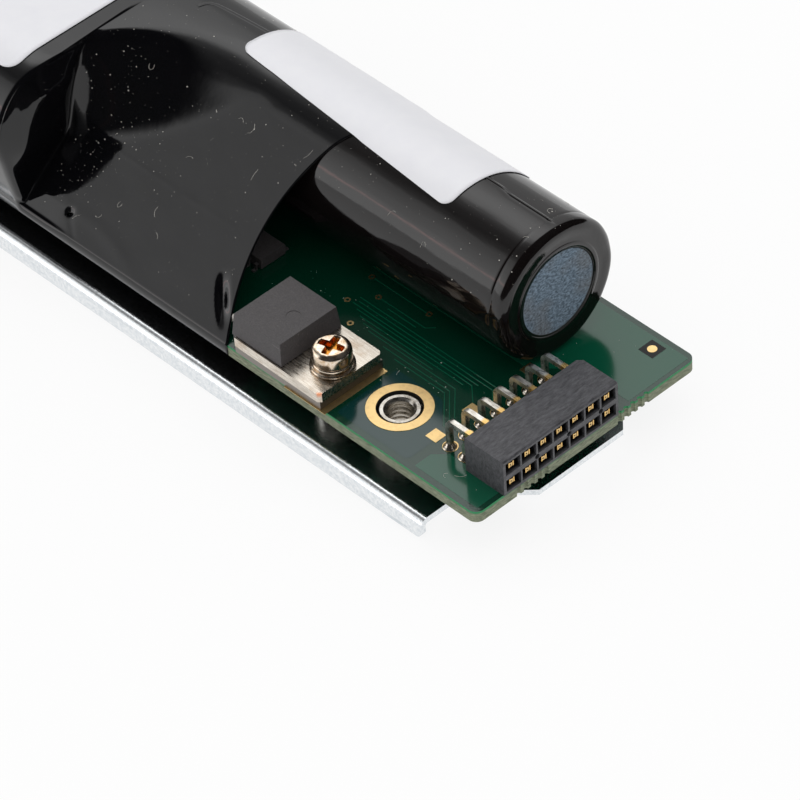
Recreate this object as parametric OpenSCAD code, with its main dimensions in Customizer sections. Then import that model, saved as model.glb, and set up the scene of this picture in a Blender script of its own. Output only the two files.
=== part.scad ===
// Cache battery module: three cylindrical cells on a long circuit board, wrapped in
// shrink film, on a folded sheet-metal tray, with a 2 x 7 socket at the front end.
// Origin: middle of the tray, at the underside of its flanges. +X points to the socket.

/* [Tray] */
// Length from the tray's plain end to the face of the socket
module_len = 146; // [130:1:180]
// Width over the tray's two side flanges
tray_w = 39.6; // [39:0.1:48]
// Thickness of the tray's sheet
sheet_t = 0.8; // [0.5:0.1:1.2]
// Height of the side flanges, sheet included
flange_h = 2.7; // [2.2:0.1:6]
// Outer radius of the flange bends
bend_r = 1.2; // [1.2:0.1:2]
// Distance from the socket's face back to the tray's square end
tray_setback = 7.5; // [5:0.1:12]
// Distance from the socket's face back to the tip of the tray's tongue
tongue_setback = 1.4; // [0.5:0.1:4]
// Width of the tongue
tongue_w = 17; // [8:0.5:30]
// Chamfer on the tongue's corners
tongue_chamfer = 1.7; // [0.5:0.1:3]

/* [Board] */
// Width of the circuit board
board_w = 35.6; // [35:0.1:38]
// Thickness of the circuit board
board_t = 1.6; // [1:0.1:2.4]
// Gap between the tray's floor and the board
board_gap = 3; // [2.6:0.1:6]
// Distance from the socket's face back to the board's end
board_setback = 0.2; // [0.1:0.1:1]
// Distance from the tray's plain end to the board's far end
board_far_gap = 2.7; // [2.6:0.1:6]
// Radius of the board's corners
board_corner_r = 1.2; // [0.5:0.1:3]
// Thickness of the plated pads on the board
pad_t = 0.05; // [0.03:0.01:0.1]

/* [Cells] */
// Diameter of a bare cell
cell_d = 18.1; // [17:0.1:18.1]
// Length of a cell
cell_len = 65; // [60:0.5:65.2]
// Wall of a cell's own sleeve
sleeve_t = 0.1; // [0.08:0.01:0.15]
// Thickness of the tape between the cells and the board
tape_t = 0.15; // [0.1:0.05:1]
// Distance from the board's back edge to the axis of the back row
back_row_inset = 9.92; // [9.5:0.01:11]
// Distance from the socket's face back to the near cell's end
cell_setback = 12.3; // [11.5:0.1:14]
// Radius of the opening in a sleeve's folded end
sleeve_open_r = 5.6; // [4:0.1:7]

/* [Film] */
// Thickness of the outer film
film_t = 0.12; // [0.08:0.01:0.2]
// Distance from the socket's face back to the film's cut edge
film_setback = 41.5; // [41.5:0.5:60]
// Depth of the hollow in the film's cut edge
film_cut_bow = 4.3; // [0:0.1:6]
// Width that the film folds in over the far end
film_lip = 3; // [1:0.5:5]
// Length of the film's hood, from the front cell's end to where it lies flat
film_hood_len = 22; // [12:1:25]

/* [Socket] */
// Contacts in a row
socket_cols = 7; // [4:1:8]
// Pitch of the contacts
pitch = 2.54; // [2:0.01:2.54]
// Depth of the socket's housing
housing_d = 6.2; // [5:0.1:6.5]
// Height of the socket's housing
housing_h = 5.1; // [4.9:0.1:6]
// Width of a contact's tail
pin_w = 0.64; // [0.5:0.01:0.7]
// Distance from the board's front edge to the first contact
socket_inset = 5.83; // [2:0.01:10]

/* [Resistor] */
// Width of the resistor's tab
tab_w = 10; // [9:0.1:10.4]
// Thickness of the resistor's tab
tab_t = 1.3; // [1:0.1:1.5]
// Height of the resistor, tab included
resistor_h = 4.5; // [4:0.1:5]
// Thickness of the plate under the tab
plate_t = 1.2; // [0.8:0.1:2]
// Distance from the socket's face back to the tab's end
resistor_setback = 25.3; // [25.1:0.1:25.5]
// Distance from the board's front edge to the resistor's middle
resistor_inset = 4.63; // [4.5:0.01:5.2]
// Thread of the resistor's screw
screw_d = 2.5; // [2:0.1:3]

/* [Standoff] */
// Thread of the fixing hole at the front
fix_d = 4; // [3:0.1:4.2]
// Outer diameter of its neck, which passes through the board
fix_neck_d = 5.1; // [4.8:0.1:5.3]
// Hole in the board around the neck
fix_board_hole_d = 5.6; // [5.5:0.1:6.2]
// Outer diameter of the ring pad around the hole
ring_pad_d = 8; // [7:0.1:9]
// Distance from the socket's face back to the fixing hole
fix_setback = 19.2; // [18:0.1:20]
// Distance from the board's front edge to the fixing hole
fix_inset = 6.4; // [5:0.1:8]

/* [Labels] */
// Length of the long label
long_label_len = 37.6; // [20:0.1:50]
// Width of the long label
long_label_w = 15; // [6:0.1:18]
// Length of the wide label
wide_label_len = 44; // [20:1:58]
// Width of the wide label
wide_label_w = 26; // [12:0.5:30]
// Thickness of a label
label_t = 0.1; // [0.05:0.01:0.15]

/* [Hidden] */
$fn = 64;
eps = 0.01;

// Main planes
face_x = module_len / 2;
far_x = -module_len / 2;
floor_z = flange_h;
board_z = floor_z + board_gap;
top_z = board_z + board_t;
board_front_x = face_x - board_setback;
board_far_x = far_x + board_far_gap;
board_len = board_front_x - board_far_x;

// Cells: the back row holds two end to end, the front row one
cell_gap = 0.05;
sleeve_r = cell_d / 2 + sleeve_t;
cell_z = top_z + tape_t + sleeve_r;
back_y = board_w / 2 - back_row_inset;
front_y = back_y - 2 * sleeve_r - cell_gap;
disc_t = 0.3;
strip_t = 0.12;
near_end_x = face_x - cell_setback;
near_cell_x = near_end_x - sleeve_t - disc_t - strip_t - 0.06;
link_gap = 0.6;
far_cell_x = near_cell_x - cell_len - link_gap;
cells_far_x = far_cell_x - cell_len;
link_x = near_cell_x - cell_len - link_gap / 2;
crimp_depth = 0.35;

// Film
film_gap = 0.03;
film_x = face_x - film_setback;
film_r = sleeve_r + film_gap + film_t;
film_top_z = cell_z + film_r;
film_bottom_z = board_z - film_gap - film_t;
fold_r = 0.8;
film_far_x = cells_far_x + 0.1 - fold_r - film_t;
hood_x = far_cell_x + 0.75;
hood_top_y = front_y + 4.2;
hood_fold = 0.43;
hood_steep = 0.09;
hood_ease = 0.08;
cut_bow_w = 23;

// Foam pads under the wrapped board
foam_len = 24;
foam_w = 24;
foam_near_gap = 6;
foam_far_gap = 8;

// Screw stack
plate_z = top_z + pad_t;
tab_z = plate_z + plate_t;
tab_top_z = tab_z + tab_t;
resistor_y = -board_w / 2 + resistor_inset;
tab_x = face_x - resistor_setback;
tab_len = 6.6;
body_len = 8.4;
body_back_x = tab_x - tab_len - body_len;
lead_pitch = 4.6;
lead_w = 0.7;
lead_foot_x = body_back_x - 2.1;
tab_hole_d = 3.8;
tab_hole_inset = 2.6;
screw_shift = 0.4;
screw_x = tab_x - tab_hole_inset;
screw_y = resistor_y - screw_shift;
flat_washer_t = 0.5;
spring_washer_t = 0.65;
screw_head_d = 4.85;
screw_head_h = 2.05;
head_z = tab_top_z + flat_washer_t + spring_washer_t;
standoff_d = 5;
thread_gap = 0.1;

// Bare copper pads
heat_pad_len = 6.9;
heat_pad_out = 0.7;
test_pad_w = 1.7;
test_pad_setback = 12.8;
fiducial_d = 1.2;
fiducial_setback = 4.95;
fiducial_inset = 2.44;

// Fixing hole
fix_x = face_x - fix_setback;
fix_y = -board_w / 2 + fix_inset;
fix_base_d = 7.2;
neck_drop = 0.2;
thread_minor = 0.81;

// Socket
first_y = -board_w / 2 + socket_inset;
socket_y = first_y + (socket_cols - 1) * pitch / 2;
housing_w = (socket_cols - 1) * pitch + 3.06;
row_gap = 2.5;
lower_z = top_z + 1.25;
upper_z = lower_z + row_gap;
pocket_w = 2.28;
pocket_h = 1.76;
pocket_d = housing_d - 0.8;
upper_tail_z = upper_z + 0.25;
lower_tail_z = lower_z + 1.15;
lower_foot_setback = 7.75;
foot_step = 2.55;
upper_foot_setback = lower_foot_setback + foot_step;
pin_hole_d = 1.05;
pin_below = 1.2;

// Labels
long_label_setback = 43.6;
long_label_turn = -4.2;
long_label_shift = 3.7;
long_label_corner_r = 1.4;
wide_label_setback = 80.5;
wide_label_wrap = 4.8;
wide_label_corner_r = 2;
label_gap = 0.08;

// ---- helpers -----------------------------------------------------------------------

// A block from its lowest corner
module block(x, y, z, sx, sy, sz) {
    translate([x, y, z]) cube([sx, sy, sz]);
}

// A revolved profile laid along X; profile x is the radius, profile y runs along +X
module along_x(x, y, z) {
    translate([x, y, z]) rotate([90, 0, 90]) rotate_extrude($fn = 96) children();
}

// A flat outline with rounded corners, centred
module rounded(w, l, r) {
    union() {
        square([w - 2 * r, l], center = true);
        square([w, l - 2 * r], center = true);
        for (sx = [-1, 1], sy = [-1, 1])
            translate([sx * (w / 2 - r), sy * (l / 2 - r)]) circle(r);
    }
}

// ---- tray and what stands on it -----------------------------------------------------

// Half of the folded section, from the middle to one flange, as a flat profile
module tray_half_section() {
    half = tray_w / 2;
    inner_r = bend_r - sheet_t;
    translate([0, floor_z - sheet_t]) square([half - bend_r, sheet_t]);
    translate([half - bend_r, floor_z - bend_r]) difference() {
        intersection() {
            circle(bend_r);
            square(bend_r);
        }
        if (inner_r > 0) circle(inner_r);
    }
    translate([half - sheet_t, 0]) square([sheet_t, floor_z - bend_r]);
}

module tray() {
    floor_len = module_len - tray_setback;
    tongue_len = tray_setback - tongue_setback;
    hem_r = 0.9;
    color("gainsboro") difference() {
        union() {
            translate([far_x, 0, 0]) rotate([90, 0, 90]) linear_extrude(floor_len) {
                tray_half_section();
                mirror([1, 0]) tray_half_section();
            }
            translate([far_x + floor_len - eps, 0, floor_z - sheet_t])
                linear_extrude(sheet_t) polygon([
                    [0, -tongue_w / 2], [tongue_len - tongue_chamfer, -tongue_w / 2],
                    [tongue_len + eps, -tongue_w / 2 + tongue_chamfer],
                    [tongue_len + eps, tongue_w / 2 - tongue_chamfer],
                    [tongue_len - tongue_chamfer, tongue_w / 2], [0, tongue_w / 2]]);
        }
        // Rounded lower corners of the flanges
        for (x = [far_x, far_x + floor_len])
            translate([x, tray_w / 2 + 1, 0]) rotate([90, 0, 0])
                linear_extrude(tray_w + 2) difference() {
                    square(2 * hem_r, center = true);
                    translate([x < 0 ? hem_r : -hem_r, hem_r]) circle(hem_r);
                }
        // Seats that the standoffs are pressed into
        translate([fix_x, fix_y, 0]) cylinder(d = fix_neck_d, h = flange_h + 1);
        translate([screw_x, screw_y, 0]) cylinder(d = standoff_d - 1, h = flange_h + 1);
    }
}

// Threaded standoff whose neck passes through the board
module locating_standoff() {
    bore_r = thread_minor * fix_d / 2;
    neck_r = fix_neck_d / 2;
    neck_top = top_z - neck_drop;
    lead = 0.35;
    seat_z = floor_z - sheet_t;
    color("silver") translate([fix_x, fix_y, 0]) rotate_extrude() polygon([
        [bore_r, seat_z], [neck_r, seat_z], [neck_r, floor_z],
        [fix_base_d / 2, floor_z], [fix_base_d / 2, board_z], [neck_r, board_z],
        [neck_r, neck_top - lead], [neck_r - lead / 2, neck_top],
        [bore_r + lead, neck_top], [bore_r, neck_top - lead]]);
}

// Standoff that takes the resistor's screw
module resistor_standoff() {
    r = standoff_d / 2;
    color("silver") translate([screw_x, screw_y, 0]) rotate_extrude() polygon([
        [screw_d / 2 + thread_gap / 2, floor_z - sheet_t], [r - 0.5, floor_z - sheet_t],
        [r - 0.5, floor_z], [r, floor_z], [r, board_z - 0.2], [r - 0.2, board_z],
        [screw_d / 2 + thread_gap / 2, board_z]]);
}

// Sticky foam between the tray's floor and the wrapped board
module foam_pads() {
    color("dimgray") for (x = [film_x - foam_near_gap - foam_len, cells_far_x + foam_far_gap])
        block(x, -foam_w / 2, floor_z, foam_len, foam_w, film_bottom_z - floor_z);
}

// ---- circuit board --------------------------------------------------------------------

// Places its children at each contact's foot on the board
module at_feet(setback) {
    for (i = [0 : socket_cols - 1])
        translate([face_x - setback, first_y + i * pitch, 0]) children();
}

// Y of each half-round bite left where the board was broken out of its panel
bite_pitch = 1.1;
bites = [for (start = [first_y + 0.9, first_y + 17.1], i = [0 : 4]) start + i * bite_pitch];

module circuit_board() {
    mid = (board_front_x + board_far_x) / 2;
    color("darkgreen") difference() {
        translate([mid, 0, board_z]) linear_extrude(board_t)
            rounded(board_len, board_w, board_corner_r);
        translate([fix_x, fix_y, board_z - 1]) cylinder(d = fix_board_hole_d, h = board_t + 2);
        translate([screw_x, screw_y, board_z - 1]) cylinder(d = screw_d + 0.4, h = board_t + 2);
        for (s = [lower_foot_setback, upper_foot_setback])
            at_feet(s) translate([0, 0, board_z - 1])
                cylinder(d = pin_hole_d, h = board_t + 2, $fn = 24);
        for (s = [-1, 1])
            translate([lead_foot_x, resistor_y + s * lead_pitch / 2, board_z - 1])
                cylinder(d = 1.2, h = board_t + 2, $fn = 24);
        for (y = bites)
            translate([board_front_x, y, board_z - 1])
                cylinder(r = 0.32, h = board_t + 2, $fn = 16);
    }
}

// A plated area on the board's top, from its centre
module pad(x, y, w, l) {
    block(x - w / 2, y - l / 2, top_z, w, l, pad_t);
}

module plated_pads() {
    color("goldenrod") {
        translate([fix_x, fix_y, top_z]) difference() {
            cylinder(d = ring_pad_d, h = pad_t);
            translate([0, 0, -1]) cylinder(d = fix_board_hole_d, h = 2);
        }
        // Under the resistor's plate, standing out past its end
        difference() {
            pad(tab_x + heat_pad_out - heat_pad_len / 2, resistor_y, heat_pad_len, tab_w);
            translate([screw_x, screw_y, top_z - 1]) cylinder(d = screw_d + 0.4, h = 2);
        }
        // Square test pads behind the socket's tails, and the round fiducial
        for (y = [0.1, 5.9, 15.25])
            pad(face_x - test_pad_setback, first_y + y, test_pad_w, test_pad_w);
        translate([face_x - fiducial_setback, board_w / 2 - fiducial_inset, top_z])
            cylinder(d = fiducial_d, h = pad_t);
        // Rings around the tails
        for (s = [lower_foot_setback, upper_foot_setback])
            at_feet(s) translate([0, 0, top_z]) difference() {
                cylinder(d = 1.9, h = pad_t, $fn = 24);
                translate([0, 0, -1]) cylinder(d = pin_hole_d, h = 2, $fn = 24);
            }
    }
}

// ---- socket -----------------------------------------------------------------------------

module connector_housing() {
    back_x = face_x - housing_d;
    edge = 0.25;
    half = housing_w / 2;
    color([0.22, 0.22, 0.24]) difference() {
        translate([0, 0, top_z]) linear_extrude(housing_h) polygon([
            [back_x, socket_y - half], [face_x, socket_y - half],
            [face_x, socket_y + half], [back_x + 3 * edge, socket_y + half],
            [back_x, socket_y + half - 3 * edge]]);
        // Pockets for the mating pins, and slots for the tails
        for (i = [0 : socket_cols - 1], row = [0, 1]) {
            y = first_y + i * pitch;
            z = row == 0 ? lower_z : upper_z;
            tail_z = row == 0 ? lower_tail_z : upper_tail_z;
            block(face_x - pocket_d, y - pocket_w / 2, z - pocket_h / 2,
                pocket_d + 1, pocket_w, pocket_h);
            block(back_x - 1, y - pin_w / 2 - 0.04, tail_z - pin_w / 2 - 0.04,
                housing_d - pocket_d + 1.1, pin_w + 0.08, pin_w + 0.08);
            block(face_x - pocket_d, y - 0.4, z, 1.3, 0.8, tail_z + pin_w / 2 + 0.04 - z);
        }
        // Round relief holes between the rows
        for (i = [1 : 2 : socket_cols - 2])
            translate([face_x - 2, first_y + (i + 0.5) * pitch, (lower_z + upper_z) / 2])
                rotate([0, 90, 0]) cylinder(d = 0.7, h = 3, $fn = 24);
        // Shallow chamfer along the top's front and back edges
        for (x = [back_x, face_x])
            translate([x, socket_y, top_z + housing_h]) rotate([0, 45, 0])
                cube([edge, housing_w + 2, edge], center = true);
    }
}

// One spring contact: a fork in its pocket, and a square tail bent down through the board
module contact(tail_z, fork_z, foot_setback) {
    root_x = face_x - pocket_d + 1.2;
    tip_x = face_x - 0.3;
    leaf_t = 0.17;
    open_y = 0.36;
    elbow_r = 0.45;
    foot_x = face_x - foot_setback;
    wall_x = face_x - housing_d;
    // Fork: two leaves that close near the tip and flare at it
    for (s = [-1, 1])
        translate([0, 0, fork_z - 0.36]) linear_extrude(0.72) polygon([
            [root_x, s * (open_y - leaf_t)], [root_x, s * open_y],
            [tip_x - 1.1, s * (0.12 + leaf_t)], [tip_x, s * (open_y + 0.04)],
            [tip_x, s * (open_y + 0.04 - leaf_t)], [tip_x - 1.1, s * 0.12]]);
    block(root_x - 0.9, -open_y, fork_z - 0.36,
        0.9 + eps, 2 * open_y, tail_z + pin_w / 2 - fork_z + 0.36);
    // Tail
    block(foot_x + pin_w / 2 + elbow_r, -pin_w / 2, tail_z - pin_w / 2,
        root_x - 0.9 + eps - foot_x - pin_w / 2 - elbow_r, pin_w, pin_w);
    translate([foot_x + pin_w / 2 + elbow_r, 0, tail_z - pin_w / 2 - elbow_r])
        rotate([90, 0, 0]) rotate_extrude(angle = 90, start = 90, $fn = 48)
            translate([elbow_r, -pin_w / 2]) square(pin_w);
    block(foot_x - pin_w / 2, -pin_w / 2, board_z - pin_below,
        pin_w, pin_w, tail_z - pin_w / 2 - elbow_r - board_z + pin_below);
}

module upper_contacts() {
    color("gold") for (i = [0 : socket_cols - 1])
        translate([0, first_y + i * pitch, 0]) contact(upper_tail_z, upper_z, upper_foot_setback);
}

module lower_contacts() {
    color("gold") for (i = [0 : socket_cols - 1])
        translate([0, first_y + i * pitch, 0]) contact(lower_tail_z, lower_z, lower_foot_setback);
}

// ---- power resistor and its screw --------------------------------------------------------

// Moulded body with drafted sides above and below its parting line
module resistor_body() {
    back_x = body_back_x;
    part_z = tab_top_z + 0.1;
    low_h = part_z - tab_z - 0.05;
    draft = 0.3;
    w = tab_w - 0.5;
    h = resistor_h - (part_z - tab_z);
    color([0.2, 0.19, 0.2]) difference() {
        union() {
            intersection() {
                translate([0, resistor_y + w / 2, 0]) rotate([90, 0, 0]) linear_extrude(w)
                    polygon([[back_x, part_z], [back_x + draft, part_z + h],
                        [back_x + body_len - draft, part_z + h], [back_x + body_len, part_z]]);
                translate([back_x, resistor_y, 0]) rotate([90, 0, 90]) linear_extrude(body_len)
                    polygon([[-w / 2, part_z], [-w / 2 + draft, part_z + h],
                        [w / 2 - draft, part_z + h], [w / 2, part_z]]);
            }
            block(back_x + 0.1, resistor_y - w / 2 + 0.1, part_z - low_h,
                body_len - 0.2, w - 0.2, low_h + eps);
        }
        // Room for the tab, and for the leads at the back
        block(back_x + 0.6, resistor_y - tab_w / 2 - 1, tab_z - 1, body_len, tab_w + 2, tab_t + 1);
        for (s = [-1, 1])
            block(back_x - 1, resistor_y + s * lead_pitch / 2 - lead_w / 2 - 0.05,
                tab_top_z + 0.25, 2.2, lead_w + 0.1, 0.65);
        // Ejector mark
        translate([back_x + body_len / 2 + 1.4, resistor_y, part_z + h - 0.06])
            cylinder(d = 1.8, h = 1);
    }
}

module resistor_tab() {
    back_x = body_back_x + 0.6;
    chamfer = 0.4;
    color("lightgray") difference() {
        translate([0, 0, tab_z]) linear_extrude(tab_t) polygon([
            [back_x, resistor_y - tab_w / 2], [tab_x - chamfer, resistor_y - tab_w / 2],
            [tab_x, resistor_y - tab_w / 2 + chamfer], [tab_x, resistor_y + tab_w / 2 - chamfer],
            [tab_x - chamfer, resistor_y + tab_w / 2], [back_x, resistor_y + tab_w / 2]]);
        translate([screw_x, resistor_y, tab_z - 1]) cylinder(d = tab_hole_d, h = tab_t + 2);
    }
}

// Two flat leads, bent down through the board behind the body
module resistor_leads() {
    lead_t = 0.5;
    elbow_r = 0.5;
    start_x = body_back_x + 1.1;
    foot_x = lead_foot_x;
    z = tab_top_z + 0.3;
    color("silver") for (s = [-1, 1]) translate([0, resistor_y + s * lead_pitch / 2, 0]) {
        block(foot_x + lead_t / 2 + elbow_r, -lead_w / 2, z,
            start_x - foot_x - lead_t / 2 - elbow_r, lead_w, lead_t);
        translate([foot_x + lead_t / 2 + elbow_r, 0, z - elbow_r]) rotate([90, 0, 0])
            rotate_extrude(angle = 90, start = 90, $fn = 48)
                translate([elbow_r, -lead_w / 2]) square([lead_t, lead_w]);
        block(foot_x - lead_t / 2, -lead_w / 2, board_z, lead_t, lead_w, z - elbow_r - board_z);
    }
}

module heat_plate() {
    color("darkgray") difference() {
        block(body_back_x + 0.4, resistor_y - tab_w / 2 + 0.2, plate_z,
            tab_len + body_len - 0.6, tab_w - 0.1, plate_t);
        translate([screw_x, screw_y, plate_z - 1]) cylinder(d = screw_d + 0.4, h = plate_t + 2);
    }
}

// Pan-head screw with a cross recess
module resistor_screw() {
    r = screw_head_d / 2;
    round_r = 0.6;
    tip_z = floor_z - 0.4;
    color("silver") translate([screw_x, screw_y, 0]) difference() {
        rotate_extrude() union() {
            polygon([[0, tip_z], [screw_d / 2 - 0.3, tip_z], [screw_d / 2, tip_z + 0.3],
                [screw_d / 2, head_z], [r, head_z], [r, head_z + screw_head_h - round_r],
                [r - round_r, head_z + screw_head_h], [0, head_z + screw_head_h]]);
            translate([r - round_r, head_z + screw_head_h - round_r])
                intersection() {
                    circle(round_r, $fn = 32);
                    square(round_r);
                }
        }
        for (a = [18, 108]) rotate([0, 0, a])
            translate([-1.35, -0.3, head_z + screw_head_h - 1.1]) cube([2.7, 0.6, 2]);
        translate([0, 0, head_z + screw_head_h - 1.3]) cylinder(d1 = 0.6, d2 = 1.5, h = 1.32);
    }
}

// Split ring under the head
module spring_washer() {
    color("silver") translate([screw_x, screw_y, head_z - spring_washer_t]) difference() {
        cylinder(d = screw_head_d - 0.05, h = spring_washer_t);
        translate([0, 0, -1]) cylinder(d = screw_d + 0.2, h = spring_washer_t + 2);
        rotate([0, 0, 140]) translate([0, -0.15, -1]) cube([4, 0.3, spring_washer_t + 2]);
    }
}

module flat_washer() {
    color("silver") translate([screw_x, screw_y, tab_top_z]) difference() {
        cylinder(d = screw_head_d + 0.15, h = flat_washer_t);
        translate([0, 0, -1]) cylinder(d = screw_d + 0.2, h = flat_washer_t + 2);
    }
}

// ---- parts on the board under the film ------------------------------------------------------

// A chip with gull-wing legs along two sides
module chip(x, y, body_w, body_l, legs, leg_pitch, h) {
    reach = 0.9;
    translate([x, y, top_z]) {
        translate([0, 0, 0.15 + h / 2]) cube([body_l, body_w, h], center = true);
        for (s = [-1, 1], i = [0 : legs - 1]) translate([(i - (legs - 1) / 2) * leg_pitch, 0, 0]) {
            block(-0.2, s > 0 ? body_w / 2 - eps : -body_w / 2 - reach / 2, h / 2,
                0.4, reach / 2 + eps, 0.2);
            block(-0.2, s > 0 ? body_w / 2 + reach / 2 - 0.2 : -body_w / 2 - reach / 2,
                0, 0.4, 0.2, h / 2 + eps);
            block(-0.2, s > 0 ? body_w / 2 + reach / 2 - 0.2 : -body_w / 2 - reach,
                0, 0.4, reach / 2 + 0.2, 0.2);
        }
    }
}

parts_x = link_x + 17.7;

module gauge_chip() {
    color([0.15, 0.15, 0.16]) chip(parts_x - 6, front_y + 4.6, 4.4, 6.5, 8, 0.65, 1.1);
}

module switch_transistors() {
    color([0.15, 0.15, 0.16]) for (x = [parts_x + 4, parts_x + 11 - 1.2])
        chip(x, front_y + 6.2, 3.9, 4.9, 4, 1.27, 1.45);
}

module cell_fuse() {
    color("beige") block(parts_x - 15.5, front_y + 3.6, top_z, 6.1, 2.5, 1.6);
}

module board_capacitors() {
    color("tan") for (i = [0 : 3])
        block(parts_x - 13 + i * 3.1, front_y + 8.2, top_z, 2, 1.25, 1.25);
}

// Bead against the near cell, with two legs in the board
module thermistor() {
    bead_r = 1.2;
    bead_y = back_y - sqrt(pow(sleeve_r + bead_r + 0.05, 2) - pow(cell_z - top_z - 4, 2));
    color("black") translate([parts_x - 14.6, bead_y, top_z + 4]) {
        sphere(bead_r, $fn = 32);
        for (s = [-1, 1]) translate([s * 0.6, 0, -4]) cylinder(d = 0.5, h = 4, $fn = 16);
    }
}

// ---- cells, sleeves and links -----------------------------------------------------------------

// Strips of double-sided tape that the three cells rest on
module cell_tape() {
    tape_w = 1.6;
    end_gap = 6;
    color("khaki")
        for (p = [[near_cell_x, back_y], [far_cell_x, back_y], [far_cell_x, front_y]])
            block(p[0] - cell_len + end_gap, p[1] - tape_w / 2, top_z,
                cell_len - 2 * end_gap, tape_w, tape_t);
}

// A sealed steel cell, its raised terminal towards +X, its axis along X
module cell(x, y, turned = false) {
    r = cell_d / 2 - strip_t - 0.04;
    half = cell_len / 2;
    base_r = 0.8;
    rim_r = 0.5;
    rim_y = half - 0.6;
    terminal_r = 4.2;
    crimp_y = half - 3.2;
    translate([x - half, y, cell_z]) mirror([turned ? 1 : 0, 0, 0])
        rotate([90, 0, 90]) rotate_extrude($fn = 96) difference() {
            union() {
                translate([0, -half]) square([r - base_r, half]);
                translate([0, base_r - half]) square([r, rim_y - rim_r + half - base_r]);
                translate([r - base_r, base_r - half]) circle(base_r, $fn = 32);
                translate([r - rim_r, rim_y - rim_r]) circle(rim_r, $fn = 24);
                square([r - rim_r, rim_y]);
                square([terminal_r, half]);
            }
            // Crimp groove behind the raised terminal, and the hollow around it
            translate([r + 0.5, crimp_y]) circle(0.5 + crimp_depth, $fn = 32);
            translate([terminal_r, half - 1.2]) square([1.6, 2]);
        }
}

module near_cell() {
    color("lightsteelblue") cell(near_cell_x, back_y, true);
}

module far_cell() {
    color("lightsteelblue") cell(far_cell_x, back_y);
}

module front_cell() {
    color("lightsteelblue") cell(far_cell_x, front_y);
}

// Shrunk sleeve of the near cell, folded in over the end disc
module near_sleeve() {
    r = sleeve_r;
    t = sleeve_t;
    len = near_end_x - (near_cell_x - cell_len) - 0.15;
    soft = 1.1;
    fold = t + 0.02;
    rim_w = 0.4;
    color([0.1, 0.1, 0.1]) along_x(near_end_x, back_y, cell_z) difference() {
        union() {
            translate([0, -len]) square([r, len - soft]);
            translate([r - soft, -soft]) circle(soft, $fn = 48);
            translate([0, -soft]) square([r - soft, soft]);
        }
        // Inside of the wall, of the soft corner and of the fold
        translate([0, -len - 1]) square([r - t, len + 1 - soft]);
        translate([r - soft, -soft]) circle(soft - t, $fn = 48);
        translate([0, -soft - 1]) square([r - soft, 1 + soft - fold]);
        // Opening, and the thin rim of the fold's free edge
        translate([0, -soft]) square([sleeve_open_r, 2 * soft]);
        translate([0, -0.05]) square([sleeve_open_r + rim_w, 1]);
        // Faint groove where the sleeve shrank into the cell's crimp
        translate([r + 0.5, -2.3]) circle(0.5 + 0.06, $fn = 24);
    }
}

// Plain sleeve of an inner cell, open at both ends
module inner_sleeve(y) {
    color([0.1, 0.1, 0.1]) along_x(far_cell_x, y, cell_z)
        translate([cell_d / 2, -cell_len + 0.1]) square([sleeve_t, cell_len - 0.2]);
}

module far_sleeve() {
    inner_sleeve(back_y);
}

module front_sleeve() {
    inner_sleeve(front_y);
}

// Fibre disc over the near cell's terminal
module end_disc() {
    color("slategray") along_x(near_cell_x + strip_t + 0.03, back_y, cell_z)
        square([sleeve_r - 1.6, disc_t]);
}

// Nickel strip on the near cell's flat end, back along its can to a foot on the board
module near_strip() {
    w = 4;
    r = cell_d / 2 - strip_t - 0.02;
    back_x = near_cell_x - cell_len;
    past = 0.2;
    len = cell_len + past + strip_t;
    color("lightgray") {
        // Bent once round the can's soft corner
        intersection() {
            along_x(back_x - past, back_y, cell_z) polygon([
                [r, 0], [r + strip_t, 0], [r + strip_t, len - 0.5], [r + strip_t - 0.5, len],
                [0, len], [0, len - strip_t], [r - 0.45, len - strip_t],
                [r, len - strip_t - 0.45]]);
            block(back_x - 1, back_y - w / 2, cell_z - r - 1, cell_len + 3, w, r + 3);
        }
        block(back_x - past, back_y - w / 4, top_z, strip_t, w / 2, cell_z - r - top_z - 0.02);
    }
}

// Nickel link: a plate across two neighbouring ends, with a leg down to the board
module link(x, w) {
    leg_w = 4;
    mid_y = (back_y + front_y) / 2;
    foot = 2;
    block(x - strip_t / 2, front_y - 4, cell_z - w / 2, strip_t, back_y - front_y + 8, w);
    block(x - strip_t / 2, mid_y - leg_w / 2, top_z, strip_t, leg_w, cell_z - top_z);
    block(x - strip_t / 2, mid_y - leg_w / 2, top_z, foot, leg_w, strip_t);
}

module middle_strip() {
    color("lightgray") link(link_x, 7);
}

module far_strip() {
    color("lightgray") link(cells_far_x - strip_t / 2 - 0.02, 7);
}

// Fibre sheet over the far end, under the film's lip
module end_paper() {
    t = 0.25;
    r = sleeve_r - 0.7;
    color("slategray") translate([cells_far_x - 0.2 - t, 0, 0]) rotate([90, 0, 90])
        linear_extrude(t) union() {
            translate([back_y, cell_z]) circle(r);
            translate([front_y, cell_z]) circle(r);
            translate([front_y, cell_z - r]) square([back_y - front_y, 2 * r]);
        }
}

// ---- outer film ---------------------------------------------------------------------------------

// How far x lies along the hood: 0 at the front cell's end, 1 where the skin is flat
function along_hood(x) = min(1, max(0, (x - hood_x) / film_hood_len));

// Angle at which a line from the point p leaves the circle (c, r) on its upper side
function tangent_angle(c, r, p, side) =
    let (d = p - c) atan2(d[1], d[0]) + side * acos(r / norm(d));

function arc(c, r, a0, a1, n) =
    [for (i = [0 : n]) let (a = a0 + (a1 - a0) * i / n) c + r * [cos(a), sin(a)]];

// Front half of the section over the front cell, for a skin that stands o off its contents
function round_front(o) =
    let (c = [front_y, cell_z],
         r = sleeve_r + o,
         a = 360 + tangent_angle(c, r, [-board_w / 2 - o, top_z], -1))
    arc(c, r, 90, a, 18);

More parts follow.
